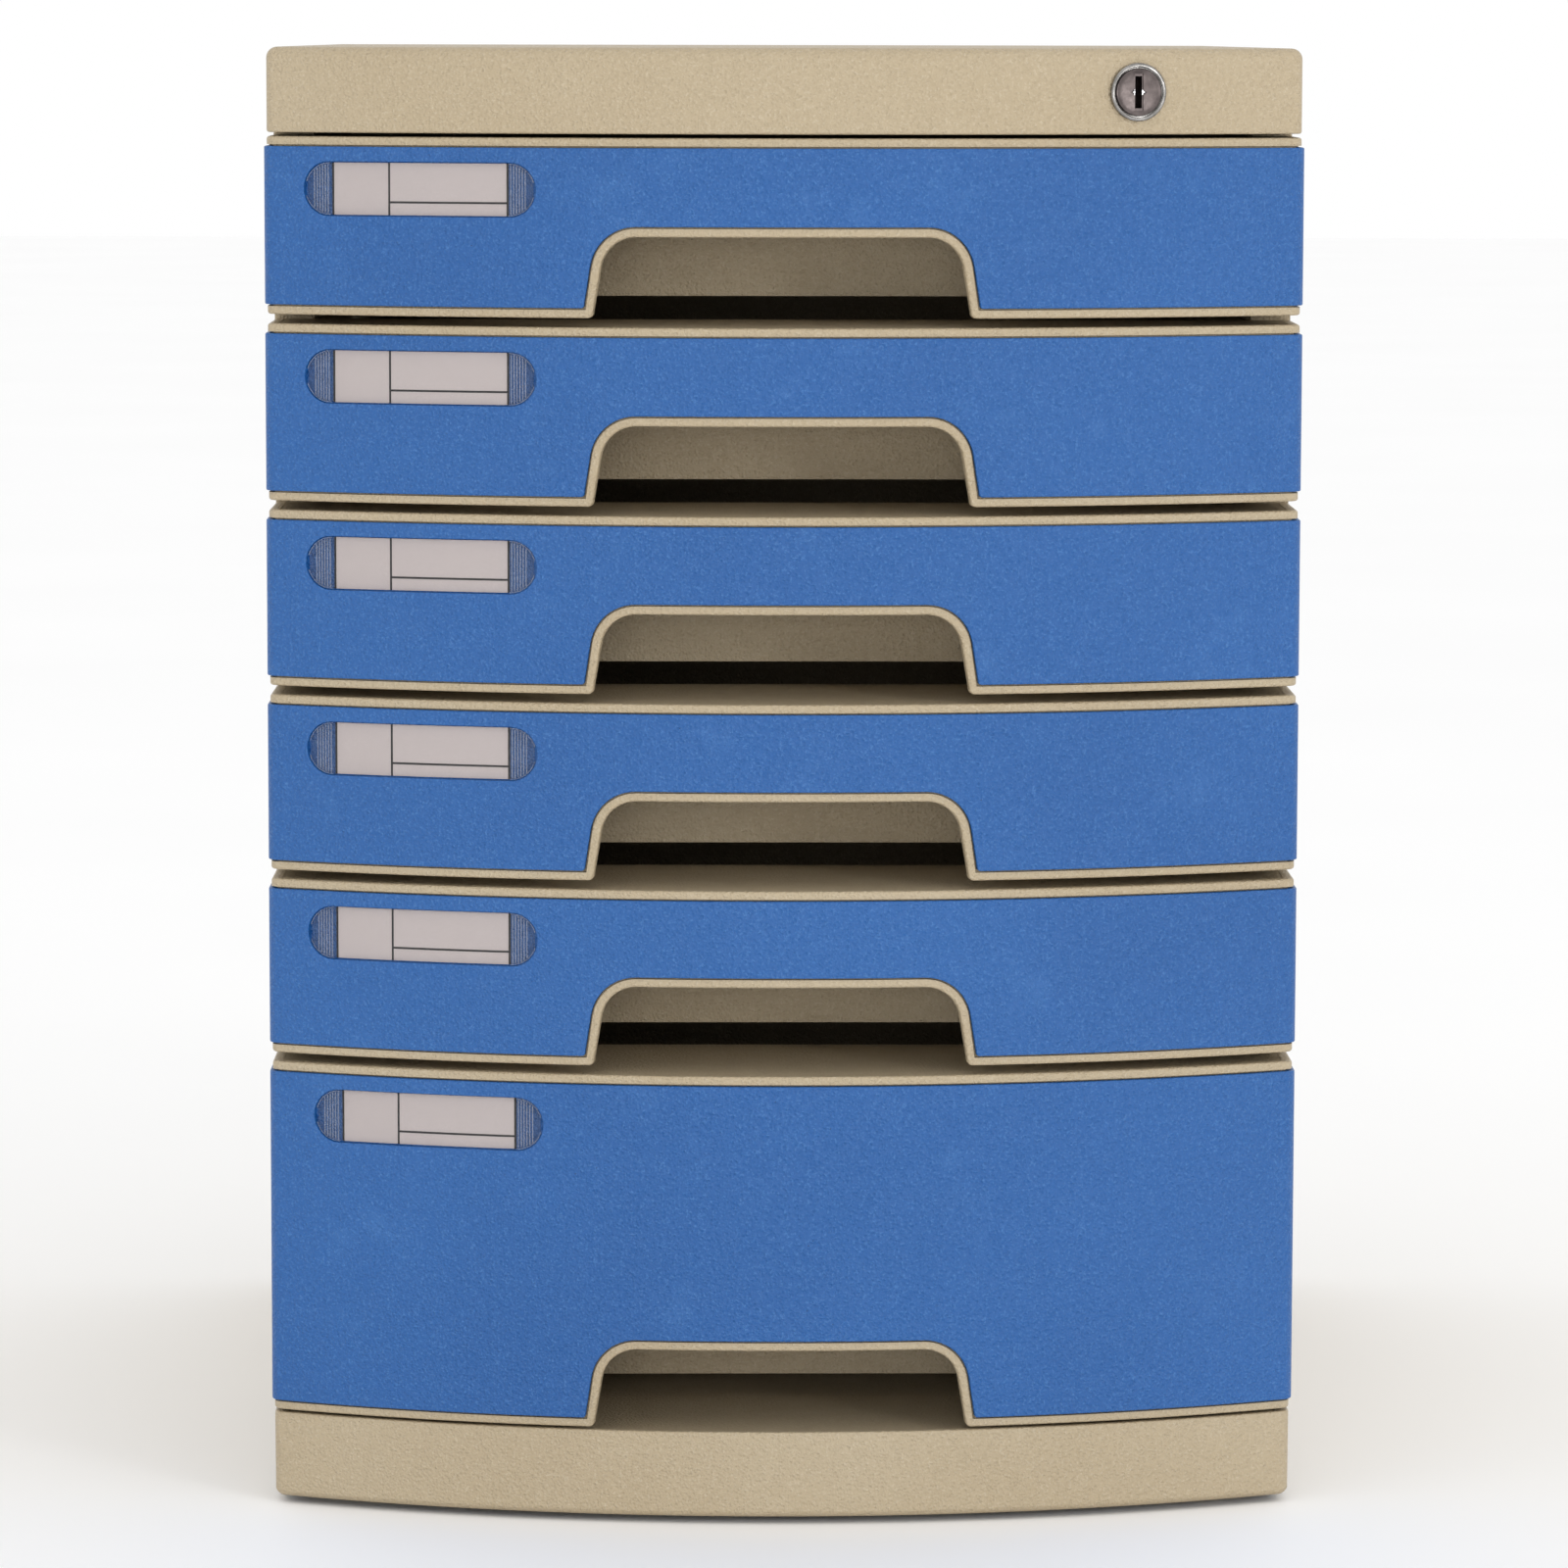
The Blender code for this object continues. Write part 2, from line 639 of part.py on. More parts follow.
def make_lock_bar():
    """Upright strip with a hook for each drawer and a flag whose slot takes the cam's pin."""
    inner = SIDE_IN + GROOVE_D - STRIP_T - 2 * FIT
    low = DEEP_Z + HOOK_Z - HOOK_H
    flag_low, flag_high = LOCK_Z - FLAG_BELOW, LOCK_Z + FLAG_ABOVE
    rear = STRIP_Y0 + STRIP_W
    frame = on_bow(LOCK_X, LOCK_Z)
    depth = BARREL_L + FIT + CAM_T + PIN_L / 2
    start = frame @ Vector((0.0, 0.0, -depth))
    reach = (inner + STRIP_T / 2 - start.x) / math.cos(LOCK_TILT)
    arm_front = (frame @ Vector((reach, 0.0, -depth))).y - STRIP_T
    profile = [
        (STRIP_Y0, low),
        (rear, low),
        (rear, flag_high),
        (arm_front, flag_high),
        (arm_front, flag_low),
        (STRIP_Y0, flag_low),
    ]
    bar = side_prism(profile, inner, inner + STRIP_T)
    edge = crank() - PIN_R - 2 * PIN_R
    flag = box((edge, -FLAG_BELOW, -depth - STRIP_T / 2), (reach, FLAG_ABOVE, -depth + STRIP_T / 2))
    slot_x = (crank() - PIN_R - PIN_SLACK, CRANK_R + PIN_R + PIN_SLACK)
    slot_y = (crank() - PIN_R - PIN_SLACK, crank() + PIN_R + PIN_SLACK)
    cut(flag, box((slot_x[0], slot_y[0], -depth - PIN_L), (slot_x[1], slot_y[1], -depth + PIN_L)))
    join(bar, moved(flag, frame))
    hooks = []
    for _, z, _, _ in drawers():
        tip = (TRAY_HALF + 2 * SLIDE, STRIP_Y0, z + HOOK_Z)
        hooks.append(box(tip, (inner + JOIN / 2, STRIP_Y0 + HOOK_L, z + HOOK_Z + HOOK_H)))
    return join(bar, *hooks)


def build_shell():
    finish_node(make_cap(), "top_cap", CREAM)
    finish_node(make_base(), "base_plinth", CREAM)
    finish_node(make_side_panel(-1), "side_panel_left", CREAM)
    finish_node(make_side_panel(1), "side_panel_right", CREAM)
    finish_node(make_back_panel(), "back_panel", CREAM)
    for i, (x, y) in enumerate(foot_places()):
        finish_node(make_foot(x, y), f"foot_{i + 1}", RUBBER)
    for i, (x, z) in enumerate(screw_places()):
        screw = finish_node(make_screw(SCREW_L - BACK_T), f"back_screw_{i + 1}", ZINC)
        screw.location = (x, BACK_Y - SCREW_SINK + FIT, z)
        screw.rotation_euler = (-math.pi / 2, 0.0, 0.0)
    for i, (_, z) in enumerate(guide_places()):
        finish_node(make_bar_guide(z), f"bar_guide_{i + 1}", ZINC)


def build_drawers():
    """Shallow drawers share their meshes; the last drawer is the deep one."""
    made = {}
    for number, z, head_h, shift in drawers():
        slide = empty(f"drawer_{number}", (0.0, 0.0, z))
        names = ("tray", "front_panel", "label_card", "label_window")
        if head_h in made:
            for name, first in zip(names, made[head_h]):
                copy_of(first, f"drawer_{number}_{name}", slide)
            continue
        shapes = (
            make_tray(head_h),
            make_front_panel(head_h, shift),
            make_label_card(head_h, shift),
            make_label_window(head_h, shift),
        )
        for name, shape, finish in zip(names, shapes, (CREAM, BLUE, PAPER, CLEAR)):
            finish_node(shape, f"drawer_{number}_{name}", finish, slide)
        made[head_h] = shapes


def build_lock():
    frame = on_bow(LOCK_X, LOCK_Z)
    axis = empty("lock_axis", frame.translation, frame.to_euler())
    finish_node(make_barrel(), "lock_barrel", NICKEL, axis)
    finish_node(make_nut(), "lock_nut", ZINC, axis)
    finish_node(make_plug(), "lock_plug", NICKEL, axis)
    finish_node(make_cam(), "lock_cam", ZINC, axis)
    screw = finish_node(make_screw(SCREW_L / 2 + CAM_T, (2 * SCREW_R, SCREW_R)), "cam_screw", ZINC, axis)
    screw.location = (0.0, 0.0, -BARREL_L - 2 * FIT - CAM_T)
    screw.rotation_euler = (math.pi, 0.0, 0.0)
    finish_node(make_lock_bar(), "lock_bar", ZINC)


for startup in list(bpy.data.objects):
    bpy.data.objects.remove(startup)
finishes = {name: make_finish(name) for name in FINISHES}
build_shell()
build_drawers()
build_lock()
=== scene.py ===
"""Bow-fronted desktop file cabinet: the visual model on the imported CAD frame. Metres; X right, Y back."""

import json
import math

import bmesh
import bpy
from mathutils import Matrix, Vector


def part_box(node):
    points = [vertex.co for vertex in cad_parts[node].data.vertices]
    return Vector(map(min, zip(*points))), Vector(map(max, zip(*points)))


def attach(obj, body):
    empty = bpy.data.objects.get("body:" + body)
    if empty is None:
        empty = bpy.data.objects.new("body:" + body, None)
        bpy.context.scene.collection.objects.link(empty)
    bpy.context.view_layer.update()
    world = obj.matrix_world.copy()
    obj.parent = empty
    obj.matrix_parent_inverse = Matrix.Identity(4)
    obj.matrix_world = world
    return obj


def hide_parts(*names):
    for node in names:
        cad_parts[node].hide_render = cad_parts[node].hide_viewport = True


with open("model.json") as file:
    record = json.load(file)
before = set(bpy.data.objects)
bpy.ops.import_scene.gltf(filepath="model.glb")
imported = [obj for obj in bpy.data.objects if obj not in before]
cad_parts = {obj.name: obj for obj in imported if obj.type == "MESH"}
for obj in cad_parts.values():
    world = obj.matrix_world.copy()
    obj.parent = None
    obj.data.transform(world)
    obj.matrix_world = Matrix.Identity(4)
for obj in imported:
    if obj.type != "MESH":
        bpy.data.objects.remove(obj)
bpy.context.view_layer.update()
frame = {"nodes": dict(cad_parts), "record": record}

# Sizes shared with the CAD part
FIT = 0.0003  # between pieces that touch
SLIDE = 0.0008  # beside and behind a sliding piece
BOW_RISE = 0.0305  # how far the front's middle stands before its ends
SKIN = 0.003  # walls of the cap and base
SIDE_T = 0.0117  # side panel, a flat tube
SIDE_SKIN = 0.0025
STILE = 0.022  # solid front edge of a side panel
REAR_STILE = 0.012
BACK_T = 0.004
TONGUE_H = 0.008
TONGUE_L = 0.090
BASE_DISH = 0.001
HEAD_END = 0.033  # depth of a drawer head at the cabinet's side
RIM_H = 0.00235  # pale rims over and under the blue panel
PANEL_T = 0.0022
PANEL_PROUD = 0.0008
PANEL_WRAP = 0.012  # how far the panel runs back round the head's ends
DECK_T = 0.0023
WALL_T = 0.002
FLOOR_RISE = 0.0042
TRAY_DROP = 0.0006
TRAY_GAP = 0.001  # between the tray wall and the ledges
LEDGE_W = 0.0068
RUNNER_T = 0.002
NIB_H = 0.0015
NIB_L = 0.008
FLANGE_T = 0.0024  # pale edge of the finger cut-out
OPENING_W = 0.1085
OPENING_H = 0.0232
OPENING_R = 0.0105
OPENING_TAPER = 0.002
LABEL_FROM_SIDE = 0.0446
LABEL_DROP = 0.0126  # from the panel's top edge to the window's middle
LABEL_H = 0.0158
DEEP_LABEL_SHIFT = 0.0015
CARD_H = 0.0150
LOCK_FROM_SIDE = 0.0490
LOCK_DROP = 0.0125
BARREL_R = 0.0073
BARREL_L = 0.018
LOCK_FLANGE_R = 0.00838
FACE_R = 0.0069
GROOVE_Y = 0.006  # the locking bar's groove, behind the stile's front edge
HOOK_L = 0.004
LUG_Z = 0.020
LUG_H = 0.006
LUG_L = 0.0042
LUG_W = 0.006
BOSS = 0.013
PEG_HOLE = (0.0028, 0.0065)  # radius, height
SCREW_R = 0.0014
SCREW_HEAD_H = 0.0015

# Read from the frame
CAP_LOW, CAP_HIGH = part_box("top_cap")
BASE_LOW, BASE_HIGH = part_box("base_plinth")
HALF_W = CAP_HIGH[0]
BACK_Y = CAP_HIGH[1]
APEX_Y = CAP_LOW[1]
CAP_Z = CAP_LOW[2] + TONGUE_H
CAP_TOP = CAP_HIGH[2]
BASE_Z = BASE_LOW[2]
BASE_TOP = BASE_HIGH[2] - TONGUE_H
DRAWERS = sum(node.endswith("_tray") for node in frame["nodes"])
TRAY_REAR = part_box("drawer_1_tray")[1][1]
SIDE_IN = HALF_W - SIDE_T
SIDE_REAR = BACK_Y - BACK_T - FIT
TRAY_HALF = SIDE_IN - LEDGE_W - TRAY_GAP

OVERLAP = 0.001  # how deep joined shapes overlap, and how far cutters stand out
HAIR = 0.0002  # least gap between two pieces that touch
STEP = 0.003  # distance between the bend lines of the bow
CORNER_STEPS = 8  # flats round an upright front corner
REAR_STEPS = 5  # flats round an upright rear corner
LEAST_FILLET = 0.0002
TINY = 1e-6  # points nearer than this to a bend line count as on it
CORNER_R = 0.0035
REAR_R = 0.0025
CAP_EDGE = 0.0032  # rounded top edge of the cap
CAP_LIP = 0.0007  # rounded lower edge of the cap
CAP_LIFT = 0.0003  # widens the shadow line over the top drawer
BASE_EDGE = 0.003
BASE_LIP = 0.0006
HEAD_SKIN = 0.0032
HEAD_EDGE = 0.0008
HEAD_TOE = 0.0016  # rounded lower corners of the head's cut-out
HIDE = 0.0009  # keeps the deck and wall inside the skirt
FLOOR_EDGE = 0.0015
TRAY_EDGE = 0.0004
TRAY_CORNER = 0.005
SEAT = PANEL_T + FIT - PANEL_PROUD
SEAM = 0.0005  # dark line round each blue panel
PANEL_TOE = 0.0009  # the same corners of the panel
OPENING_SHIFT = -0.0010  # the cut-outs stand a little left of the middle
LABEL_W = 0.0702
LABEL_SEAM = 0.0004  # gap round the label cover
CARD_W = 0.0534
CARD_T = 0.0002
WINDOW_T = 0.0009
WINDOW_SINK = 0.0005  # window's face behind the panel's
WINDOW_FACE = WINDOW_SINK - PANEL_PROUD
CARD_FACE = WINDOW_FACE + WINDOW_T + HAIR / 2
POCKET = CARD_FACE + CARD_T + HAIR / 2
RIBS = 6
RIB_PITCH = 0.00085
RIB_W = 0.00035
RIB_START = 0.8  # pitches from the card to the first rib
RIM_W = 0.0006  # from the pocket's edge to the inside of the cover's raised rim
NOTCH_L = 0.0012  # notch at each tip of the cover
NOTCH_H = 0.0042
RULE_W = 0.0006
RULE_RISE = 0.0034  # from the card's lower edge
COLUMN_SHIFT = -0.0094  # the card's column line, from its middle
LOCK_PROUD = 0.0017  # the lock's ring stands this far before the cap
LOCK_RIM = 0.0008
FACE_BACK = 0.0007  # underside of the plug's face, before the cap
FACE = LOCK_PROUD - HAIR
SHAFT_R = 0.0045
KEYWAY = ((0.0021, 0.0092, 0.009), (0.0027, 0.0106, 0.0007))  # width, height, depth of each step
LOCK_STEPS = 72
FACE_EDGE = 0.0004
FACE_DISH = ((-0.0008, 0.0001), (-0.0016, 0.0003))  # from the face's edge: radius, depth
FACE_MIDDLE = (0.0006, 0.0004)  # radius, depth
DIMPLE = ((0.0009, 0.0009, -0.0016), (0.0036, 0.0030, 0.0006))  # lozenge half sizes, height from the face
KEY_GUIDE = ((0.0032, 0.0024, -0.0014), (0.0018, 0.0013, -0.0002))
FOOT_PAD_T = 0.0017
FOOT_PAD = ((-0.0012, 0.0), (-0.0004, 0.0003), (0.0, 0.001), (-0.0003, FOOT_PAD_T))  # from the rim, height
FOOT_PEG = (0.0026, 0.0024, 0.0018)  # radius at the pad, at the shoulder and at the tip
PEG_SHOULDER = 0.0005
FOOT_GROOVE = (0.0033, 0.0040, 0.0004)  # outer and inner edge from the rim, depth
CROSS = (0.0016, 0.0004)  # half sizes of a screw's cross recess
CROSS_FLOOR = 0.35  # share of the head's height
SCREW_TIP = 0.4  # share of the shank's radius
PAN_HEAD = ((1.0, 0.0), (1.0, 0.45), (0.8, 0.85), (0.45, 1.0), (0.08, 1.0))  # shares of radius and height
SCREW_TURN = 37  # degrees from one screw's recess to the next

# Looks
SPECK_R = 0.045  # radius of a dark speck, in cell widths
SPECK_RARE = 0.66  # noise above which specks are let through
SPECK_TONE = 0.25  # share of the plastic's deep colour
HAZE = 16  # 8-bit steps between clear plastic and its haze
ACRYLIC_IOR = 1.49
SMEAR_TONE = 0.72  # share of the metal's tone

# Lights: name, place, size and watts
LIGHTS = (
    ("key", (1.5, -1.9, 0.7), (0.45, 0.45), 8.5),
    ("front", (-0.2, -2.6, 0.3), (0.9, 0.7), 10),
)

# Camera and floor
SENSOR = 36.0  # mm, as is the lens
LENS = 152.7
CAMERA_X = -0.0245
CAMERA_BACK = 1.934  # in front of the cabinet's front corners
CAMERA_Z = 0.433
CAMERA_TURN = -0.73  # degrees, as are the tilt and the roll
CAMERA_TILT = 83.545
CAMERA_ROLL = 0.113
FLOOR_HALF = 12

# The bow and what follows from it
BOW_R = (HALF_W**2 + BOW_RISE**2) / (2 * BOW_RISE)
BOW_CY = APEX_Y + BOW_R
FRONT_END_Y = APEX_Y + BOW_RISE
WALL_REAR = FRONT_END_Y + HEAD_END
WALL_FRONT = WALL_REAR - WALL_T
STILE_Y = WALL_REAR + SLIDE
LUG_Y = STILE_Y + GROOVE_Y + SLIDE + HOOK_L + SLIDE
TURN = math.asin((HALF_W - CORNER_R) / (BOW_R - CORNER_R))
CORNER_X = HALF_W - CORNER_R
CORNER_Y = BOW_CY - (BOW_R - CORNER_R) * math.cos(TURN)
ARC_END = BOW_R * TURN
CORNER_END = ARC_END + CORNER_R * (math.pi / 2 - TURN)
LOCK_X = HALF_W - LOCK_FROM_SIDE
LOCK_Z = CAP_TOP - LOCK_DROP


# ---------------------------------------------------------------- shapes

def front_point(s, depth):
    """Plan position at distance s along the front from its middle, and depth behind its surface."""
    side, along = (1 if s >= 0 else -1), abs(s)
    if along <= ARC_END:
        a = along / BOW_R
        return side * (BOW_R - depth) * math.sin(a), BOW_CY - (BOW_R - depth) * math.cos(a)
    if along <= CORNER_END:
        a = TURN + (along - ARC_END) / CORNER_R
        reach = CORNER_R - depth
        return side * (CORNER_X + reach * math.sin(a)), CORNER_Y - reach * math.cos(a)
    return side * (HALF_W - depth), CORNER_Y + along - CORNER_END


def along_for_x(x):
    """Distance along the front to a place on the bow."""
    return BOW_R * math.asin(x / BOW_R)


def along_for_y(y):
    """Distance along the front to a place on the straight side."""
    return CORNER_END + y - CORNER_Y


def bend_lines():
    """Distances along the front at which a bent piece gets an edge."""
    steps = round(ARC_END / STEP)
    lines = [ARC_END * i / steps for i in range(steps + 1)]
    lines += [ARC_END + (CORNER_END - ARC_END) * i / CORNER_STEPS for i in range(1, CORNER_STEPS + 1)]
    return [-s for s in reversed(lines)] + lines[1:]


def new_object(mesh, name="piece"):
    data = bpy.data.meshes.new(name)
    mesh.to_mesh(data)
    mesh.free()
    shape = bpy.data.objects.new(name, data)
    bpy.context.scene.collection.objects.link(shape)
    return shape


def stack(rings, closed=False):
    """Solid through rings of equal length, each counter-clockwise seen from the last one's side."""
    mesh = bmesh.new()
    loops = [[mesh.verts.new(point) for point in ring] for ring in rings]
    pairs = list(zip(loops, loops[1:]))
    if closed:
        pairs.append((loops[-1], loops[0]))
    for low, high in pairs:
        for i, vert in enumerate(low):
            j = (i + 1) % len(low)
            mesh.faces.new((vert, low[j], high[j], high[i]))
    if not closed:
        mesh.faces.new(reversed(loops[0]))
        mesh.faces.new(loops[-1])
    return new_object(mesh)


def inset(outline, distance):
    """Counter-clockwise outline moved inwards, corner by corner."""
    moved = []
    for i, (x, y) in enumerate(outline):
        before, after = outline[i - 1], outline[(i + 1) % len(outline)]
        first = Vector((before[1] - y, x - before[0])).normalized()
        second = Vector((y - after[1], after[0] - x)).normalized()
        shift = (first + second) * (distance / (1 + first.dot(second)))
        moved.append((x + shift.x, y + shift.y))
    return moved


def rounded(radius, steps=4):
    """(inset, drop) pairs of a quarter round, from the side to the top."""
    turns = [math.pi / 2 * i / steps for i in range(steps + 1)]
    return [(radius * (1 - math.cos(a)), radius * (1 - math.sin(a))) for a in turns]


def slab(outline, front, back, edge=0.0):
    """Flat piece in X and Z between two depths in Y, with its front edge rounded."""
    levels = [(back, 0.0)]
    levels += [(front + drop, move) for move, drop in rounded(edge)] if edge else [(front, 0.0)]
    return stack([[(x, y, z) for x, z in inset(outline, move)] for y, move in levels])


def plan_stack(levels, outline):
    """Solid from (height, inset) levels of one plan outline."""
    return stack([[(x, y, z) for x, y in outline(move)] for z, move in levels])


def box(low, high):
    (x0, y0, z0), (x1, y1, z1) = low, high
    corners = [(x0, y0), (x1, y0), (x1, y1), (x0, y1)]
    return stack([[(x, y, z) for x, y in corners] for z in (z0, z1)])


def side_prism(profile, left, right):
    """Profile of (y, z) points drawn from one x to another."""
    return stack([[(x, y, z) for y, z in profile] for x in sorted((left, right))])


def circle(radius, z, steps):
    turns = [2 * math.pi * i / steps for i in range(steps)]
    return [(radius * math.cos(a), radius * math.sin(a), z) for a in turns]


def turned(profile, steps=48, closed=False):
    """Round solid from (radius, height) pairs, lowest first up the outside."""
    return stack([circle(r, z, steps) for r, z in profile], closed)


def placed(shape, matrix):
    """The shape with its mesh moved by the matrix."""
    shape.data.transform(matrix)
    return shape


def merged(shapes):
    """One mesh of several separate solids."""
    mesh = bmesh.new()
    for shape in shapes:
        mesh.from_mesh(shape.data)
        bpy.data.objects.remove(shape)
    return new_object(mesh)


def combine(shape, operation, tools):
    """Joins the tools to the shape, or cuts them from it, and removes them."""
    for tool in tools:
        modifier = shape.modifiers.new(operation, "BOOLEAN")
        modifier.operation = operation
        modifier.solver = "EXACT"
        modifier.object = tool
    graph = bpy.context.evaluated_depsgraph_get()
    shape.data = bpy.data.meshes.new_from_object(shape.evaluated_get(graph))
    shape.modifiers.clear()
    for tool in tools:
        bpy.data.objects.remove(tool)
    return shape


def join(shape, *tools):
    return combine(shape, "UNION", tools)


def cut(shape, *tools):
    return combine(shape, "DIFFERENCE", tools)


def bend(shape):
    """Wraps a flat piece round the front: its X runs along the bow and its Y is depth."""
    mesh = bmesh.new()
    mesh.from_mesh(shape.data)
    low, high = min(v.co.x for v in mesh.verts), max(v.co.x for v in mesh.verts)
    for s in bend_lines():
        if low < s < high:
            parts = mesh.verts[:] + mesh.edges[:] + mesh.faces[:]
            bmesh.ops.bisect_plane(mesh, geom=parts, dist=TINY, plane_co=(s, 0, 0), plane_no=(1, 0, 0))
    for v in mesh.verts:
        v.co.x, v.co.y = front_point(v.co.x, v.co.y)
    mesh.to_mesh(shape.data)
    mesh.free()
    return shape


def bow_plan(move, rear, rear_r=0.0):
    """Closed plan with the bowed front, moved inwards; counter-clockwise."""
    ends = along_for_y(rear) if not rear_r else along_for_y(rear - rear_r)
    stations = [s for s in bend_lines() if abs(s) < ends]
    line = [front_point(s, move) for s in stations]
    if not rear_r:
        return [(-(HALF_W - move), rear)] + line + [(HALF_W - move, rear)]
    fillet = max(rear_r - move, LEAST_FILLET)
    centre = HALF_W - move - fillet
    turns = [math.pi / 2 * i / REAR_STEPS for i in range(REAR_STEPS + 1)]
    right = [(centre + fillet * math.cos(a), rear - fillet + fillet * math.sin(a)) for a in turns]
    left = [(-x, y) for x, y in reversed(right)]
    return line + right + left


def on_bow(x, z):
    """Frame on the front: local X right, local Y up, local Z outwards."""
    turn = math.asin(x / BOW_R)
    point = Vector((x, BOW_CY - BOW_R * math.cos(turn), z))
    return Matrix.Translation(point) @ Matrix.Rotation(turn, 4, "Z") @ Matrix.Rotation(math.pi / 2, 4, "X")


def round_corner(centre, radius, start, end, steps):
    """Points of an arc between two angles in degrees."""
    turns = [math.radians(start + (end - start) * i / steps) for i in range(steps + 1)]
    return [(centre[0] + radius * math.cos(a), centre[1] + radius * math.sin(a)) for a in turns]


def front_outline(reach, low, high, grow, toe):
    """Front plate with the finger notch; grow widens the notch, toe rounds its lower corners."""
    half = along_for_x(OPENING_W / 2) + grow
    radius = OPENING_R + grow
    top = OPENING_H + grow
    lean = math.degrees(math.atan2(OPENING_TAPER, top - radius))
    shoulder = (half - OPENING_TAPER - radius, top - radius)
    foot_x = half - OPENING_TAPER * low / (top - radius)
    right = round_corner(shoulder, radius, 90, lean, steps=12)
    if toe:
        right += round_corner((foot_x + toe, low + toe), toe, 180 - lean, 270, steps=5)
    else:
        right.append((foot_x, low))
    left = [(-x, z) for x, z in reversed(right)]
    notch = shifted(left + right, OPENING_SHIFT, 0.0)
    return [(-reach, low)] + notch + [(reach, low), (reach, high), (-reach, high)]


def stadium(width, height, steps=16):
    radius = height / 2
    right = round_corner((width / 2 - radius, 0.0), radius, -90, 90, steps)
    return right + [(-x, -z) for x, z in right]


def shifted(outline, x, z):
    return [(a + x, b + z) for a, b in outline]


def rectangle(x0, x1, z0, z1):
    return [(x0, z0), (x1, z0), (x1, z1), (x0, z1)]


# ---------------------------------------------------------------- materials
# Noise and cell scales count features per metre, or nearly so; bump distances are in metres.

def srgb(red, green, blue):
    """Linear colour of an 8-bit one."""
    def linear(value):
        share = value / 255
        return share / 12.92 if share <= 0.04045 else ((share + 0.055) / 1.055) ** 2.4
    return (linear(red), linear(green), linear(blue), 1.0)


class Surface:
    """A procedural material: a Principled shader and the nodes that feed it."""

    def __init__(self, name, roughness, metallic=0.0):
        self.material = bpy.data.materials.new(name)
        self.material.use_nodes = True
        self.nodes = self.material.node_tree.nodes
        self.links = self.material.node_tree.links
        self.shader = self.nodes["Principled BSDF"]
        self.shader.inputs["Roughness"].default_value = roughness
        self.shader.inputs["Metallic"].default_value = metallic
        self.place = self.nodes.new("ShaderNodeTexCoord").outputs["Object"]

    def noise(self, scale, detail=2.0, roughness=0.5):
        node = self.nodes.new("ShaderNodeTexNoise")
        node.inputs["Scale"].default_value = scale
        node.inputs["Detail"].default_value = detail
        node.inputs["Roughness"].default_value = roughness
        self.links.new(self.place, node.inputs["Vector"])
        return node.outputs["Fac"]

    def cells(self, scale):
        node = self.nodes.new("ShaderNodeTexVoronoi")
        node.inputs["Scale"].default_value = scale
        self.links.new(self.place, node.inputs["Vector"])
        return node.outputs["Distance"]

    def ramp(self, value, low, high, start=0.0, end=1.0):
        """The value with its span from low to high spread from start to end."""
        node = self.nodes.new("ShaderNodeMapRange")
        node.inputs["From Min"].default_value = low
        node.inputs["From Max"].default_value = high
        node.inputs["To Min"].default_value = start
        node.inputs["To Max"].default_value = end
        self.links.new(value, node.inputs["Value"])
        return node.outputs["Result"]

    def math(self, operation, first, second):
        node = self.nodes.new("ShaderNodeMath")
        node.operation = operation
        for socket, value in zip(node.inputs, (first, second)):
            if isinstance(value, (int, float)):
                socket.default_value = value
            else:
                self.links.new(value, socket)
        return node.outputs["Value"]

    def mix(self, share, first, second):
        """Colour between two others, each a constant or a socket."""
        node = self.nodes.new("ShaderNodeMix")
        node.data_type = "RGBA"
        self.links.new(share, node.inputs["Factor"])
        colours = [socket for socket in node.inputs if socket.type == "RGBA"]
        for socket, value in zip(colours, (first, second)):
            if isinstance(value, tuple):
                socket.default_value = value
            else:
                self.links.new(value, socket)
        return [socket for socket in node.outputs if socket.type == "RGBA"][0]

    def colour(self, value):
        self.feed("Base Color", value)

    def feed(self, name, value):
        if isinstance(value, (tuple, int, float)):
            self.shader.inputs[name].default_value = value
        else:
            self.links.new(value, self.shader.inputs[name])

    def bump(self, height, distance):
        node = self.nodes.new("ShaderNodeBump")
        node.inputs["Distance"].default_value = distance
        self.links.new(height, node.inputs["Height"])
        self.links.new(node.outputs["Normal"], self.shader.inputs["Normal"])


def moulded_plastic(name, base, deep, light, roughness):
    """Spark-textured moulded plastic: fine pits with painted glints on them, soft colour drift, a few dark
    specks and rubbed spots.
    """
    surface = Surface(name, roughness)
    drift = surface.ramp(surface.noise(9, detail=3), 0.35, 0.65)
    colour = surface.mix(drift, deep, base)
    rubbed = surface.ramp(surface.noise(55, detail=4, roughness=0.65), 0.58, 0.75, 0.0, 0.12)
    colour = surface.mix(rubbed, colour, light)
    speck = surface.math("LESS_THAN", surface.cells(260), SPECK_R)
    rare = surface.math("GREATER_THAN", surface.noise(60, detail=1), SPECK_RARE)
    dark = surface.math("MULTIPLY", speck, rare)
    colour = surface.mix(dark, colour, tuple(SPECK_TONE * part for part in deep[:3]) + (1.0,))
    spark_and_glints = surface.noise(1300, detail=3, roughness=0.65)
    # Paler dots where the spark texture stands high: painted glints.
    colour = surface.mix(surface.ramp(spark_and_glints, 0.52, 0.7, 0.0, 0.4), colour, light)
    surface.colour(colour)
    uneven = surface.ramp(surface.noise(120, detail=2), 0.3, 0.7, roughness - 0.05, roughness + 0.06)
    surface.feed("Roughness", uneven)
    leather = surface.ramp(surface.cells(1000), 0.1, 0.6)
    surface.bump(surface.math("ADD", spark_and_glints, surface.math("MULTIPLY", leather, 0.5)), 0.00045)
    return surface.material


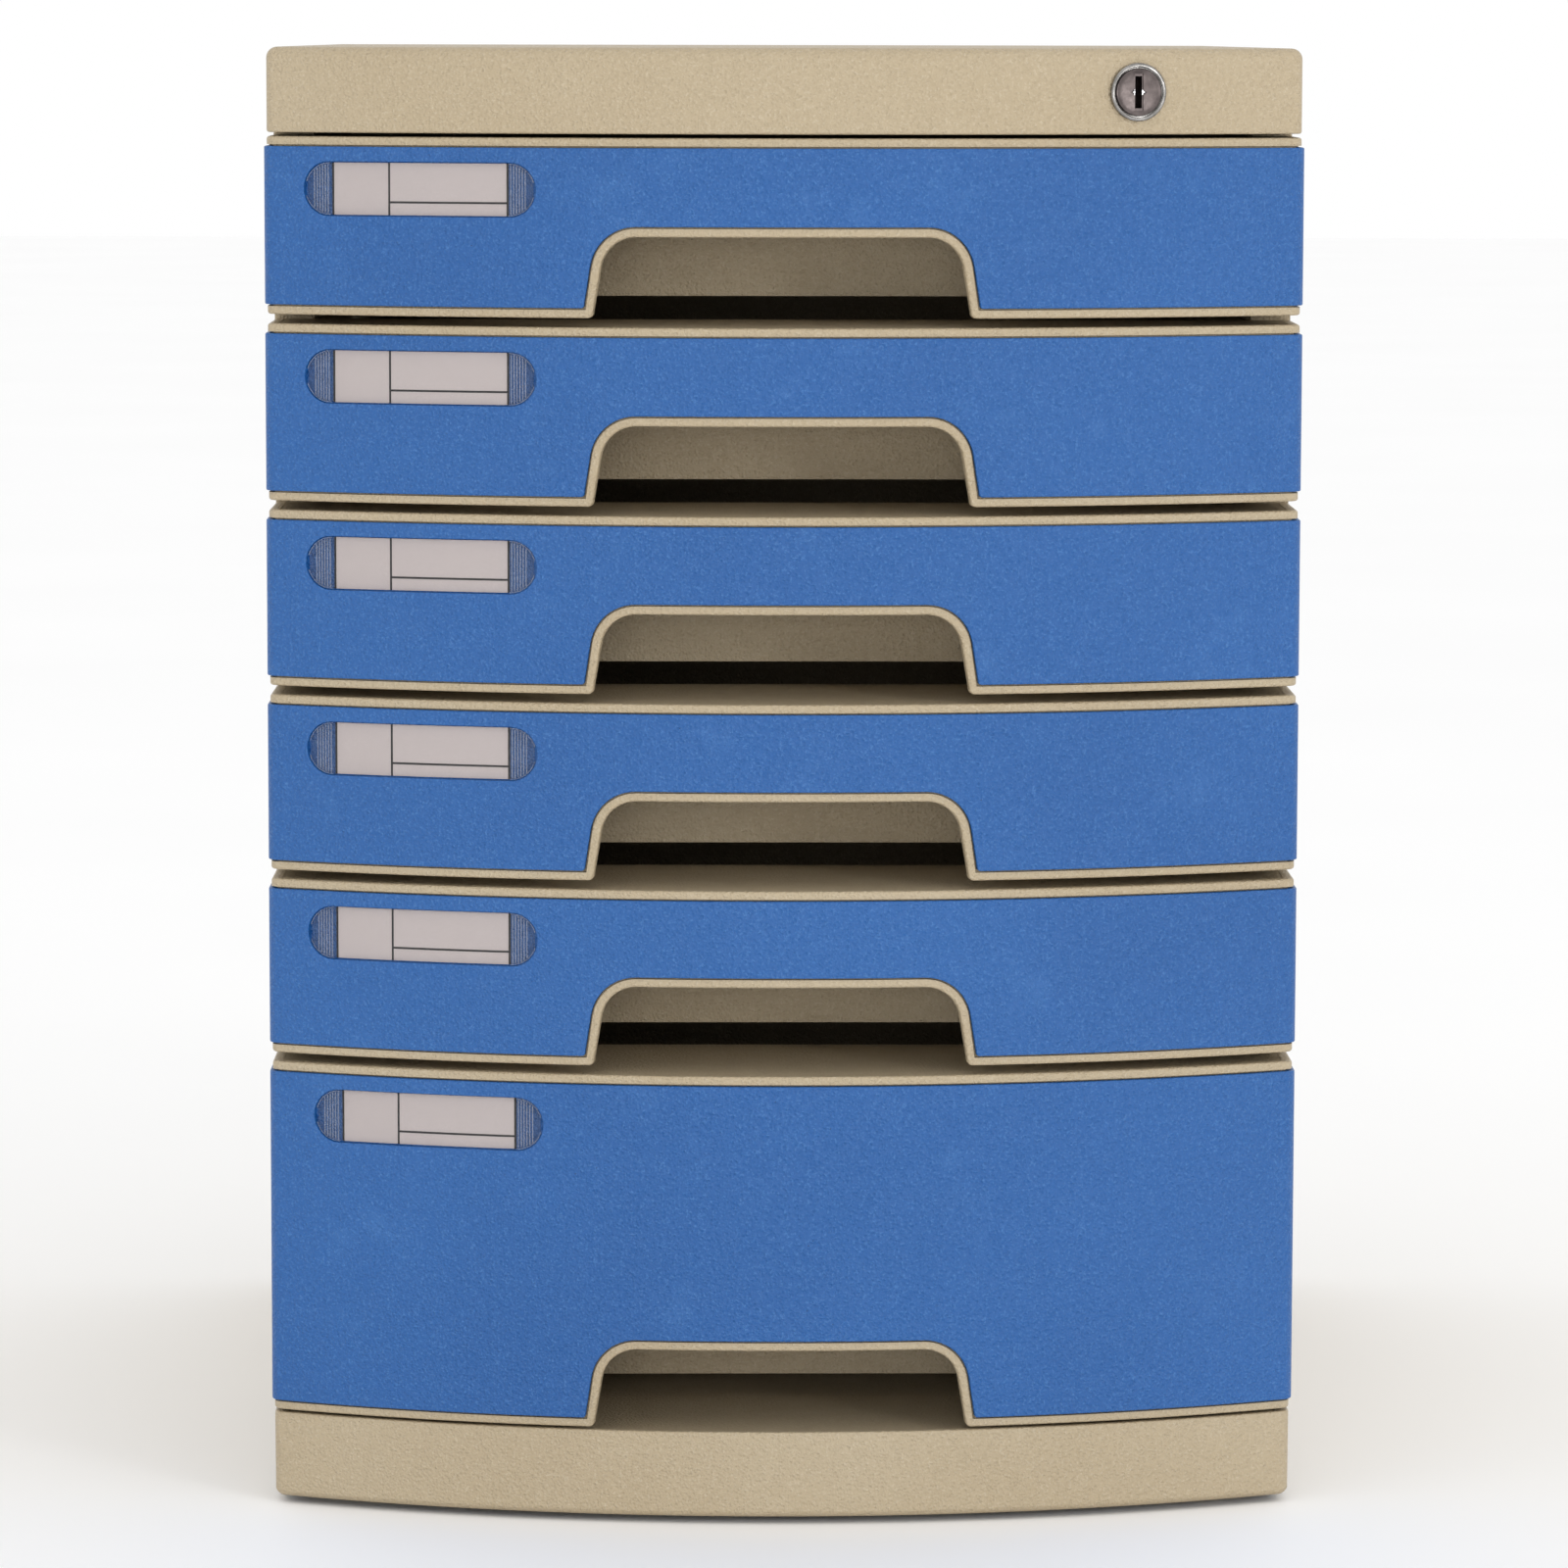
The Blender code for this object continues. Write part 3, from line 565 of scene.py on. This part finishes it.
def clear_plastic(name, tone, cover):
    """See-through plastic; cover is how much it hides of what lies behind."""
    surface = Surface(name, 0.1)
    haze = surface.ramp(surface.noise(400, detail=3), 0.3, 0.7)
    paler = tuple(min(255, part + HAZE) for part in tone)
    surface.colour(surface.mix(haze, srgb(*tone), srgb(*paler)))
    surface.feed("Alpha", cover)
    surface.feed("IOR", ACRYLIC_IOR)
    surface.feed("Roughness", surface.ramp(surface.noise(300, detail=2), 0.3, 0.7, 0.05, 0.14))
    surface.bump(surface.noise(180, detail=2), 0.00002)
    return surface.material


def paper():
    """Matt card with a fine fibre."""
    surface = Surface("label_paper_look", 0.85)
    fibre = surface.ramp(surface.noise(1800, detail=4, roughness=0.7), 0.3, 0.7)
    surface.colour(surface.mix(fibre, srgb(213, 201, 199), srgb(220, 209, 207)))
    surface.bump(surface.noise(2600, detail=3, roughness=0.7), 0.00002)
    return surface.material


def ink():
    """Slightly uneven black for the card's lines."""
    surface = Surface("rule_ink_look", 0.7)
    patchy = surface.ramp(surface.noise(900, detail=2), 0.3, 0.7)
    surface.colour(surface.mix(patchy, srgb(12, 13, 18), srgb(28, 28, 32)))
    return surface.material


def nickel(name, tone, roughness):
    """Plated metal, smeared by handling."""
    surface = Surface(name, roughness, 1.0)
    smear = surface.ramp(surface.noise(260, detail=4, roughness=0.6), 0.35, 0.7)
    darker = tuple(round(SMEAR_TONE * part) for part in tone)
    surface.colour(surface.mix(smear, srgb(*darker), srgb(*tone)))
    rough = surface.ramp(surface.noise(700, detail=3), 0.3, 0.7, roughness, roughness + 0.12)
    surface.feed("Roughness", rough)
    surface.bump(surface.noise(2200, detail=2), 0.00001)
    return surface.material


def zinc():
    """Zinc-plated steel with a faint spangle."""
    surface = Surface("zinc_steel_look", 0.4, 1.0)
    spangle = surface.ramp(surface.cells(320), 0.1, 0.7)
    surface.colour(surface.mix(spangle, srgb(150, 152, 154), srgb(186, 188, 188)))
    surface.feed("Roughness", surface.ramp(surface.noise(400, detail=3), 0.3, 0.7, 0.32, 0.5))
    surface.bump(surface.noise(1500, detail=2), 0.00002)
    return surface.material


def rubber():
    """Black rubber with a little dust."""
    surface = Surface("foot_rubber_look", 0.8)
    dust = surface.ramp(surface.noise(240, detail=4, roughness=0.7), 0.45, 0.75)
    surface.colour(surface.mix(dust, srgb(34, 34, 35), srgb(62, 61, 60)))
    surface.bump(surface.noise(1800, detail=3), 0.00004)
    return surface.material


def floor_paint():
    """Plain pale floor."""
    surface = Surface("floor_look", 0.9)
    surface.colour(surface.mix(surface.noise(3, detail=2), srgb(250, 250, 250), srgb(254, 254, 254)))
    return surface.material


# Each plastic: base, deep, and a pale colour for the rubbed spots and the painted glints.
CREAM = (srgb(181, 165, 137), srgb(176, 159, 130), srgb(207, 195, 171))
BLUE = (srgb(24, 89, 157), srgb(18, 84, 151), srgb(84, 138, 198))
LOOKS = {
    "cream_plastic": moulded_plastic("cream_look", *CREAM, 0.42),
    "blue_plastic": moulded_plastic("blue_look", *BLUE, 0.4),
    # The cover's dark grey tint darkens what shows through it: painted shade.
    "clear_plastic": clear_plastic("clear_plastic_painted_shade_look", (84, 82, 80), 0.13),
    # The ribs and rim take a pale tint: painted highlight on them.
    "clear_ribs": clear_plastic("clear_ribs_painted_highlight_look", (150, 158, 176), 0.3),
    "label_paper": paper(),
    "nickel_plate": nickel("nickel_plate_look", (176, 173, 170), 0.2),
    # Darker copy of the plated nickel for the plug's face: painted dark reflection.
    "dark_nickel": nickel("nickel_painted_dark_reflection_look", (112, 103, 101), 0.3),
    # Paler copy of the plated nickel for the key guide: painted glint.
    "bright_nickel": nickel("nickel_painted_glint_look", (236, 236, 236), 0.15),
    "zinc_steel": zinc(),
    "foot_rubber": rubber(),
    "ink": ink(),
}


def finished(shape, name, slot, body, *nodes, sharp=35):
    """Names a piece, gives it its look and body, and takes the place of its CAD nodes."""
    shape.name = name
    shape.data.materials.clear()
    shape.data.materials.append(LOOKS[slot])
    shape.data.shade_smooth()
    shape.data.set_sharp_from_angle(angle=math.radians(sharp))
    normals = shape.modifiers.new("weighted", "WEIGHTED_NORMAL")
    normals.keep_sharp = True
    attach(shape, body)
    if nodes:
        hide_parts(*nodes)
    return shape


# ---------------------------------------------------------------- cabinet

def tongues(low, high):
    """Plates that stand in the open ends of the side panels."""
    inner = SIDE_IN + SIDE_SKIN + FIT
    outer = HALF_W - SIDE_SKIN - FIT
    front = STILE_Y + STILE + SLIDE
    rear = SIDE_REAR - REAR_STILE - SLIDE
    plates = []
    for side in (-1, 1):
        x0, x1 = sorted((side * inner, side * outer))
        for y0 in (front, rear - TONGUE_L):
            plates.append(box((x0, y0, low), (x1, y0 + TONGUE_L, high)))
    return plates


def make_cap():
    under = CAP_Z + CAP_LIFT
    levels = [(CAP_TOP - SKIN, SKIN), (under + CAP_LIP, SKIN), (under, SKIN - CAP_LIP)]
    levels += [(under + drop, move) for move, drop in reversed(rounded(CAP_LIP, steps=3))]
    levels += [(CAP_TOP - drop, move) for move, drop in rounded(CAP_EDGE, steps=8)]
    cap = plan_stack(levels, lambda move: bow_plan(move, BACK_Y - move, REAR_R))
    hole_r = BARREL_R + FIT
    cut(cap, placed(turned([(hole_r, -2 * SKIN), (hole_r, 2 * SKIN)]), on_bow(LOCK_X, LOCK_Z)))
    join(cap, *tongues(CAP_Z - TONGUE_H, CAP_TOP - SKIN + OVERLAP))
    finished(cap, "cap_cover", "cream_plastic", "cabinet", "top_cap")


def foot_middle(number):
    low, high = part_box(f"foot_{number}")
    return (low[0] + high[0]) / 2, (low[1] + high[1]) / 2


def make_base():
    deck = BASE_TOP - BASE_DISH
    ceiling = deck - SKIN
    levels = [(ceiling, SKIN), (BASE_Z + BASE_LIP, SKIN), (BASE_Z, BASE_EDGE + HAIR / 2)]
    levels += [(BASE_Z + drop, move) for move, drop in reversed(rounded(BASE_EDGE, steps=6))][:-1]
    levels += [(BASE_TOP - drop, move) for move, drop in rounded(BASE_LIP, steps=3)]
    levels += [(BASE_TOP, SKIN - BASE_LIP), (BASE_TOP - BASE_LIP / 2, SKIN - BASE_LIP / 4), (deck, SKIN)]
    base = plan_stack(levels, lambda move: bow_plan(move, BACK_Y - move, REAR_R))
    hole_r, hole_h = PEG_HOLE
    for number in range(1, 5):
        x, y = foot_middle(number)
        join(base, box((x - BOSS, y - BOSS, BASE_Z + HAIR), (x + BOSS, y + BOSS, ceiling + OVERLAP)))
        hole = turned([(hole_r, -OVERLAP), (hole_r, hole_h)], steps=24)
        cut(base, placed(hole, Matrix.Translation((x, y, BASE_Z))))
    join(base, *tongues(deck - OVERLAP, BASE_TOP + TONGUE_H))
    finished(base, "base_cover", "cream_plastic", "cabinet", "base_plinth")


def make_feet():
    """Round rubber feet with a groove underneath and a peg that stands in the base."""
    outer, inner, depth = FOOT_GROOVE
    at_pad, at_shoulder, at_tip = FOOT_PEG
    for number in range(1, 5):
        low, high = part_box(f"foot_{number}")
        radius, top = (high[0] - low[0]) / 2, high[2]
        pad = [(radius + reach, height) for reach, height in FOOT_PAD]
        peg = [(at_pad, FOOT_PAD_T + HAIR / 2), (at_shoulder, top - PEG_SHOULDER), (at_tip, top)]
        foot = turned(pad + peg)
        groove = [(radius - inner, -OVERLAP), (radius - outer, -OVERLAP)]
        groove += [(radius - outer, depth), (radius - inner, depth)]
        cut(foot, turned(groove, closed=True))
        placed(foot, Matrix.Translation((*foot_middle(number), 0.0)))
        finished(foot, f"rubber_foot_{number}", "foot_rubber", "cabinet", f"foot_{number}")


def make_back_screws():
    """Pan heads with a cross recess, sunk in the back panel."""
    long, narrow = CROSS
    for number in range(1, 7):
        name = f"back_screw_{number}"
        low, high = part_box(name)
        under = high[1] - SCREW_HEAD_H
        head_r, tip = (high[0] - low[0]) / 2, low[1] - under
        shank = [(SCREW_TIP * SCREW_R, tip), (SCREW_R, tip + OVERLAP), (SCREW_R, 0.0)]
        head = [(head_r * wide, SCREW_HEAD_H * rise) for wide, rise in PAN_HEAD]
        screw = turned(shank + head, steps=32)
        for x, y in ((long, narrow), (narrow, long)):
            cut(screw, box((-x, -y, CROSS_FLOOR * SCREW_HEAD_H), (x, y, SCREW_HEAD_H + OVERLAP)))
        turn = Matrix.Rotation(math.radians(SCREW_TURN * number), 4, "Z")
        place = Matrix.Translation(((low[0] + high[0]) / 2, under, (low[2] + high[2]) / 2))
        placed(screw, place @ Matrix.Rotation(-math.pi / 2, 4, "X") @ turn)
        finished(screw, f"cross_screw_{number}", "zinc_steel", "cabinet", name)


def lozenges(levels):
    """Solid through lozenges of (half width, half height, height from the lock's face)."""
    rings = []
    for x, y, rise in levels:
        z = FACE + rise
        rings.append([(x, 0.0, z), (0.0, y, z), (-x, 0.0, z), (0.0, -y, z)])
    return stack(rings)


def make_lock_ring(place):
    """Barrel whose flange has a rounded bright rim and a dark gap round the plug."""
    outer = [(BARREL_R, -BARREL_L), (BARREL_R, HAIR), (LOCK_FLANGE_R, HAIR)]
    outer += [(LOCK_FLANGE_R - move, LOCK_PROUD - drop) for move, drop in rounded(LOCK_RIM, steps=6)]
    mouth, bore = FACE_R + FIT, SHAFT_R + HAIR
    inner = [(mouth + FIT, LOCK_PROUD), (mouth, LOCK_PROUD - FIT), (mouth, FACE_BACK - HAIR)]
    inner += [(bore, FACE_BACK - HAIR), (bore, -BARREL_L)]
    ring = placed(turned(outer + inner, LOCK_STEPS, closed=True), place)
    finished(ring, "lock_ring", "nickel_plate", "cabinet", "lock_barrel")


def keyway_cutters():
    cutters = []
    for wide, tall, depth in KEYWAY:
        cutters.append(box((-wide / 2, -tall / 2, FACE - depth), (wide / 2, tall / 2, FACE + OVERLAP)))
    return cutters


def make_lock_face(place):
    """Dished plug face with a stepped keyway and a lozenge-shaped dimple at its middle."""
    profile = [(SHAFT_R, -BARREL_L), (SHAFT_R, FACE_BACK), (FACE_R, FACE_BACK)]
    profile += [(FACE_R - move, FACE - drop) for move, drop in rounded(FACE_EDGE)]
    profile += [(FACE_R + reach, FACE - depth) for reach, depth in FACE_DISH]
    profile.append((FACE_MIDDLE[0], FACE - FACE_MIDDLE[1]))
    plug = turned(profile, LOCK_STEPS)
    cut(plug, *keyway_cutters(), lozenges(DIMPLE))
    # The face takes the darker nickel, which paints its dark reflection.
    finished(placed(plug, place), "lock_face", "dark_nickel", "lock_rotor", "lock_plug", sharp=25)


def make_key_guide(place):
    """Bevelled facets in the dimple, one on each side of the keyway, in a paler nickel that paints their
    glint.
    """
    guide = cut(lozenges(KEY_GUIDE), *keyway_cutters())
    finished(placed(guide, place), "lock_key_guide", "bright_nickel", "lock_rotor", sharp=20)


def make_lock():
    place = on_bow(LOCK_X, LOCK_Z)
    make_lock_ring(place)
    make_lock_face(place)
    make_key_guide(place)


# ---------------------------------------------------------------- drawers

def drawer_size(number):
    """(height of the head's underside, head height, label shift) of a drawer."""
    low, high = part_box(f"drawer_{number}_tray")
    return low[2], high[2] - low[2], DEEP_LABEL_SHIFT if number == DRAWERS else 0.0


def tray_plan(x, front, rear, radius):
    """Rounded plan of the tray, counter-clockwise."""
    corners = ((x, front, -90), (x, rear, 0), (-x, rear, 90), (-x, front, 180))
    points = []
    for cx, cy, start in corners:
        centre = (cx - math.copysign(radius, cx), cy + (radius if cy == front else -radius))
        points += round_corner(centre, radius, start, start + 90, steps=6)
    return points


def make_head(head_h):
    """The bowed head: skirt with rims and flange, deck and straight wall, in one skin."""
    reach = along_for_y(WALL_REAR)
    skirt = slab(front_outline(reach, 0.0, head_h, 0.0, HEAD_TOE), 0.0, HEAD_SKIN, HEAD_EDGE)
    wrap = along_for_y(FRONT_END_Y + PANEL_WRAP)
    seat = front_outline(wrap + SEAM, RIM_H, head_h - RIM_H, FLANGE_T, 0.0)
    cut(skirt, slab(seat, -OVERLAP, SEAT))
    bend(skirt)
    levels = [(head_h - DECK_T, HIDE), (head_h - HAIR / 2, HIDE)]
    deck = plan_stack(levels, lambda move: bow_plan(move, WALL_REAR - HAIR))
    inner = HALF_W - HEAD_SKIN + HIDE
    wall = box((-inner, WALL_FRONT, FLOOR_RISE), (inner, WALL_REAR - HAIR / 2, head_h - DECK_T / 2))
    return join(skirt, deck, wall)


def make_runners(top):
    """Flanges the tray hangs from, each with a nib under its rear end."""
    under, heel = top - RUNNER_T, TRAY_REAR - NIB_L
    profile = [
        (WALL_REAR - OVERLAP, under),
        (heel, under),
        (heel, under - NIB_H),
        (TRAY_REAR - HAIR, under - NIB_H),
        (TRAY_REAR - HAIR, top - HAIR),
        (WALL_REAR - OVERLAP, top - HAIR),
    ]
    root, tip = TRAY_HALF - OVERLAP, SIDE_IN - SLIDE
    return [side_prism(profile, side * root, side * tip) for side in (-1, 1)]


def make_tray(head_h):
    top = head_h - TRAY_DROP
    levels = [(FLOOR_RISE + drop, move) for move, drop in reversed(rounded(FLOOR_EDGE, steps=3))]
    levels += [(top - drop, move) for move, drop in rounded(TRAY_EDGE, steps=2)]
    front = WALL_FRONT + HIDE
    body = plan_stack(
        levels,
        lambda move: tray_plan(TRAY_HALF - move, front + move, TRAY_REAR - move, TRAY_CORNER - move),
    )
    lug_low = (TRAY_HALF - OVERLAP, LUG_Y, LUG_Z)
    lug = box(lug_low, (TRAY_HALF + LUG_W, LUG_Y + LUG_L, LUG_Z + LUG_H))
    tray = join(make_head(head_h), body)
    join(tray, *make_runners(top), lug)
    half, rear = TRAY_HALF - WALL_T, TRAY_REAR - WALL_T
    floor = FLOOR_RISE + WALL_T
    levels = [(floor + drop, move) for move, drop in reversed(rounded(WALL_T, steps=4))]
    cavity = plan_stack(
        levels + [(head_h + OVERLAP, 0.0)],
        lambda move: tray_plan(half - move, WALL_REAR + move, rear - move, TRAY_CORNER - OVERLAP - move),
    )
    return cut(tray, cavity)


def label_centre(head_h, shift):
    """(distance along the front, height) of the label's middle."""
    return along_for_x(LABEL_FROM_SIDE - HALF_W + shift), head_h - RIM_H - LABEL_DROP


def make_panel(head_h, shift):
    """Blue front with its cut-out and a blind pocket for the label."""
    wrap = along_for_y(FRONT_END_Y + PANEL_WRAP)
    outline = front_outline(wrap, RIM_H + SEAM, head_h - RIM_H - SEAM, FLANGE_T + SEAM, PANEL_TOE)
    panel = slab(outline, -PANEL_PROUD, SEAT - HAIR, PANEL_PROUD / 2)
    x, z = label_centre(head_h, shift)
    pocket = slab(shifted(stadium(LABEL_W, LABEL_H), x, z), -PANEL_PROUD - OVERLAP, POCKET)
    return bend(cut(panel, pocket))


def tip_notches():
    """Cutters for the notch at each tip of the cover."""
    reach = LABEL_W / 2 + HAIR
    spans = ((-reach, -reach + NOTCH_L), (reach - NOTCH_L, reach))
    return [slab(rectangle(*span, -NOTCH_H / 2, NOTCH_H / 2), -SEAT, SEAT) for span in spans]


def make_window(head_h, shift):
    """Clear cover with a notch at each tip."""
    x, z = label_centre(head_h, shift)
    outline = stadium(LABEL_W - 2 * LABEL_SEAM, LABEL_H - 2 * LABEL_SEAM)
    window = slab(outline, WINDOW_FACE, WINDOW_FACE + WINDOW_T, HAIR)
    cut(window, *tip_notches())
    return bend(placed(window, Matrix.Translation((x, 0.0, z))))


def make_ribs(head_h, shift):
    """The cover's raised rim and its grip ribs, which stand only at the clear ends."""
    x, z = label_centre(head_h, shift)
    front, back = WINDOW_FACE - HAIR, WINDOW_FACE + HAIR / 2
    rim = slab(stadium(LABEL_W - 2 * LABEL_SEAM, LABEL_H - 2 * LABEL_SEAM), front, back)
    cut(rim, slab(stadium(LABEL_W - 2 * RIM_W, LABEL_H - 2 * RIM_W), -SEAT, SEAT))
    keep = CARD_W / 2 + HAIR
    cut(rim, slab(rectangle(-keep, keep, -LABEL_H, LABEL_H), -SEAT, SEAT), *tip_notches())
    ribs = [rim]
    for i in range(RIBS):
        at = keep + RIB_PITCH * (i + RIB_START)
        beyond = at - (LABEL_W - LABEL_H) / 2
        half = math.sqrt((LABEL_H / 2 - RIM_W) ** 2 - max(beyond, 0.0) ** 2) - HAIR
        for side in (-1, 1):
            strip = rectangle(side * at - RIB_W / 2, side * at + RIB_W / 2, -half, half)
            ribs.append(slab(strip, front, back, HAIR / 2))
    return bend(placed(merged(ribs), Matrix.Translation((x, 0.0, z))))


def make_card(head_h, shift):
    x, z = label_centre(head_h, shift)
    outline = rectangle(x - CARD_W / 2, x + CARD_W / 2, z - CARD_H / 2, z + CARD_H / 2)
    return bend(slab(outline, CARD_FACE, CARD_FACE + CARD_T))


def make_rules(head_h, shift):
    """Dark lines, as thin strips on the card: one along each end, a printed column line and a printed rule.
    """
    x, z = label_centre(head_h, shift)
    left, right, low, high = x - CARD_W / 2, x + CARD_W / 2, z - CARD_H / 2, z + CARD_H / 2
    column, rule = x + COLUMN_SHIFT, low + RULE_RISE
    strips = [
        rectangle(column, column + RULE_W, low, high),
        rectangle(column + RULE_W / 2, right, rule, rule + RULE_W),
        rectangle(left, left + RULE_W, low, high),
        rectangle(right - RULE_W, right, low, high),
    ]
    front, back = CARD_FACE - HAIR / 4, CARD_FACE + HAIR / 2
    first, *rest = [slab(strip, front, back) for strip in strips]
    return bend(join(first, *rest))


def twin(shape, z, source_z):
    """Copy of a finished drawer piece for another drawer of the same height."""
    copy = bpy.data.objects.new("copy", shape.data.copy())
    bpy.context.scene.collection.objects.link(copy)
    return placed(copy, Matrix.Translation((0.0, 0.0, z - source_z)))


def make_drawers():
    makers = {
        "body": (make_tray, "cream_plastic", "tray"),
        "fascia": (make_panel, "blue_plastic", "front_panel"),
        "cover": (make_window, "clear_plastic", "label_window"),
        "grip_ribs": (make_ribs, "clear_ribs", None),
        "card": (make_card, "label_paper", "label_card"),
        "rules": (make_rules, "ink", None),
    }
    made = {}
    for number in range(1, DRAWERS + 1):
        z, head_h, shift = drawer_size(number)
        body = f"drawer_{number}"
        for part, (maker, slot, node) in makers.items():
            key = (part, round(head_h, 5))
            if key in made:
                shape = twin(made[key][0], z, made[key][1])
            else:
                shape = maker(head_h) if part == "body" else maker(head_h, shift)
                placed(shape, Matrix.Translation((0.0, 0.0, z)))
                made[key] = (shape, z)
            nodes = [f"{body}_{node}"] if node else []
            finished(shape, f"{body}_{part}", slot, body, *nodes)


def repaint_cad():
    """CAD nodes that stay in view take the procedural looks too."""
    slots = {entry["node"]: entry["material_slot"] for entry in frame["record"]["subparts"]}
    for name, node in frame["nodes"].items():
        node.data.materials.clear()
        node.data.materials.append(LOOKS[slots[name]])


# ---------------------------------------------------------------- studio

def make_floor():
    mesh = bmesh.new()
    bmesh.ops.create_grid(mesh, x_segments=2, y_segments=2, size=FLOOR_HALF)
    floor = new_object(mesh, "studio_floor")
    floor.data.materials.append(floor_paint())


def area_light(name, place, target, size, power):
    light = bpy.data.lights.new(name, "AREA")
    light.shape = "RECTANGLE"
    light.size, light.size_y = size
    light.energy = power
    holder = bpy.data.objects.new(name, light)
    holder.location = place
    holder.rotation_euler = (Vector(target) - Vector(place)).to_track_quat("-Z", "Y").to_euler()
    bpy.context.scene.collection.objects.link(holder)


def make_studio():
    """White surroundings, with one soft light from the right and one from the front."""
    world = bpy.data.worlds.new("studio")
    world.use_nodes = True
    background = world.node_tree.nodes["Background"]
    background.inputs["Color"].default_value = (1.0, 1.0, 1.0, 1.0)
    background.inputs["Strength"].default_value = 1.0
    bpy.context.scene.world = world
    middle = (0.0, 0.0, CAP_TOP / 2)
    for name, place, size, power in LIGHTS:
        area_light(name, place, middle, size, power)
    bpy.context.scene.view_settings.view_transform = "Standard"
    bpy.context.scene.view_settings.look = "None"


def make_camera():
    lens = bpy.data.cameras.new("camera")
    lens.sensor_width = SENSOR
    lens.lens = LENS
    camera = bpy.data.objects.new("camera", lens)
    place = Matrix.Translation((CAMERA_X, FRONT_END_Y - CAMERA_BACK, CAMERA_Z))
    turn = Matrix.Rotation(math.radians(CAMERA_TURN), 4, "Z")
    tilt = Matrix.Rotation(math.radians(CAMERA_TILT), 4, "X")
    roll = Matrix.Rotation(math.radians(CAMERA_ROLL), 4, "Z")
    camera.matrix_world = place @ turn @ tilt @ roll
    bpy.context.scene.collection.objects.link(camera)
    bpy.context.scene.camera = camera


repaint_cad()
make_cap()
make_base()
make_feet()
make_back_screws()
make_lock()
make_drawers()
make_floor()
make_studio()
make_camera()
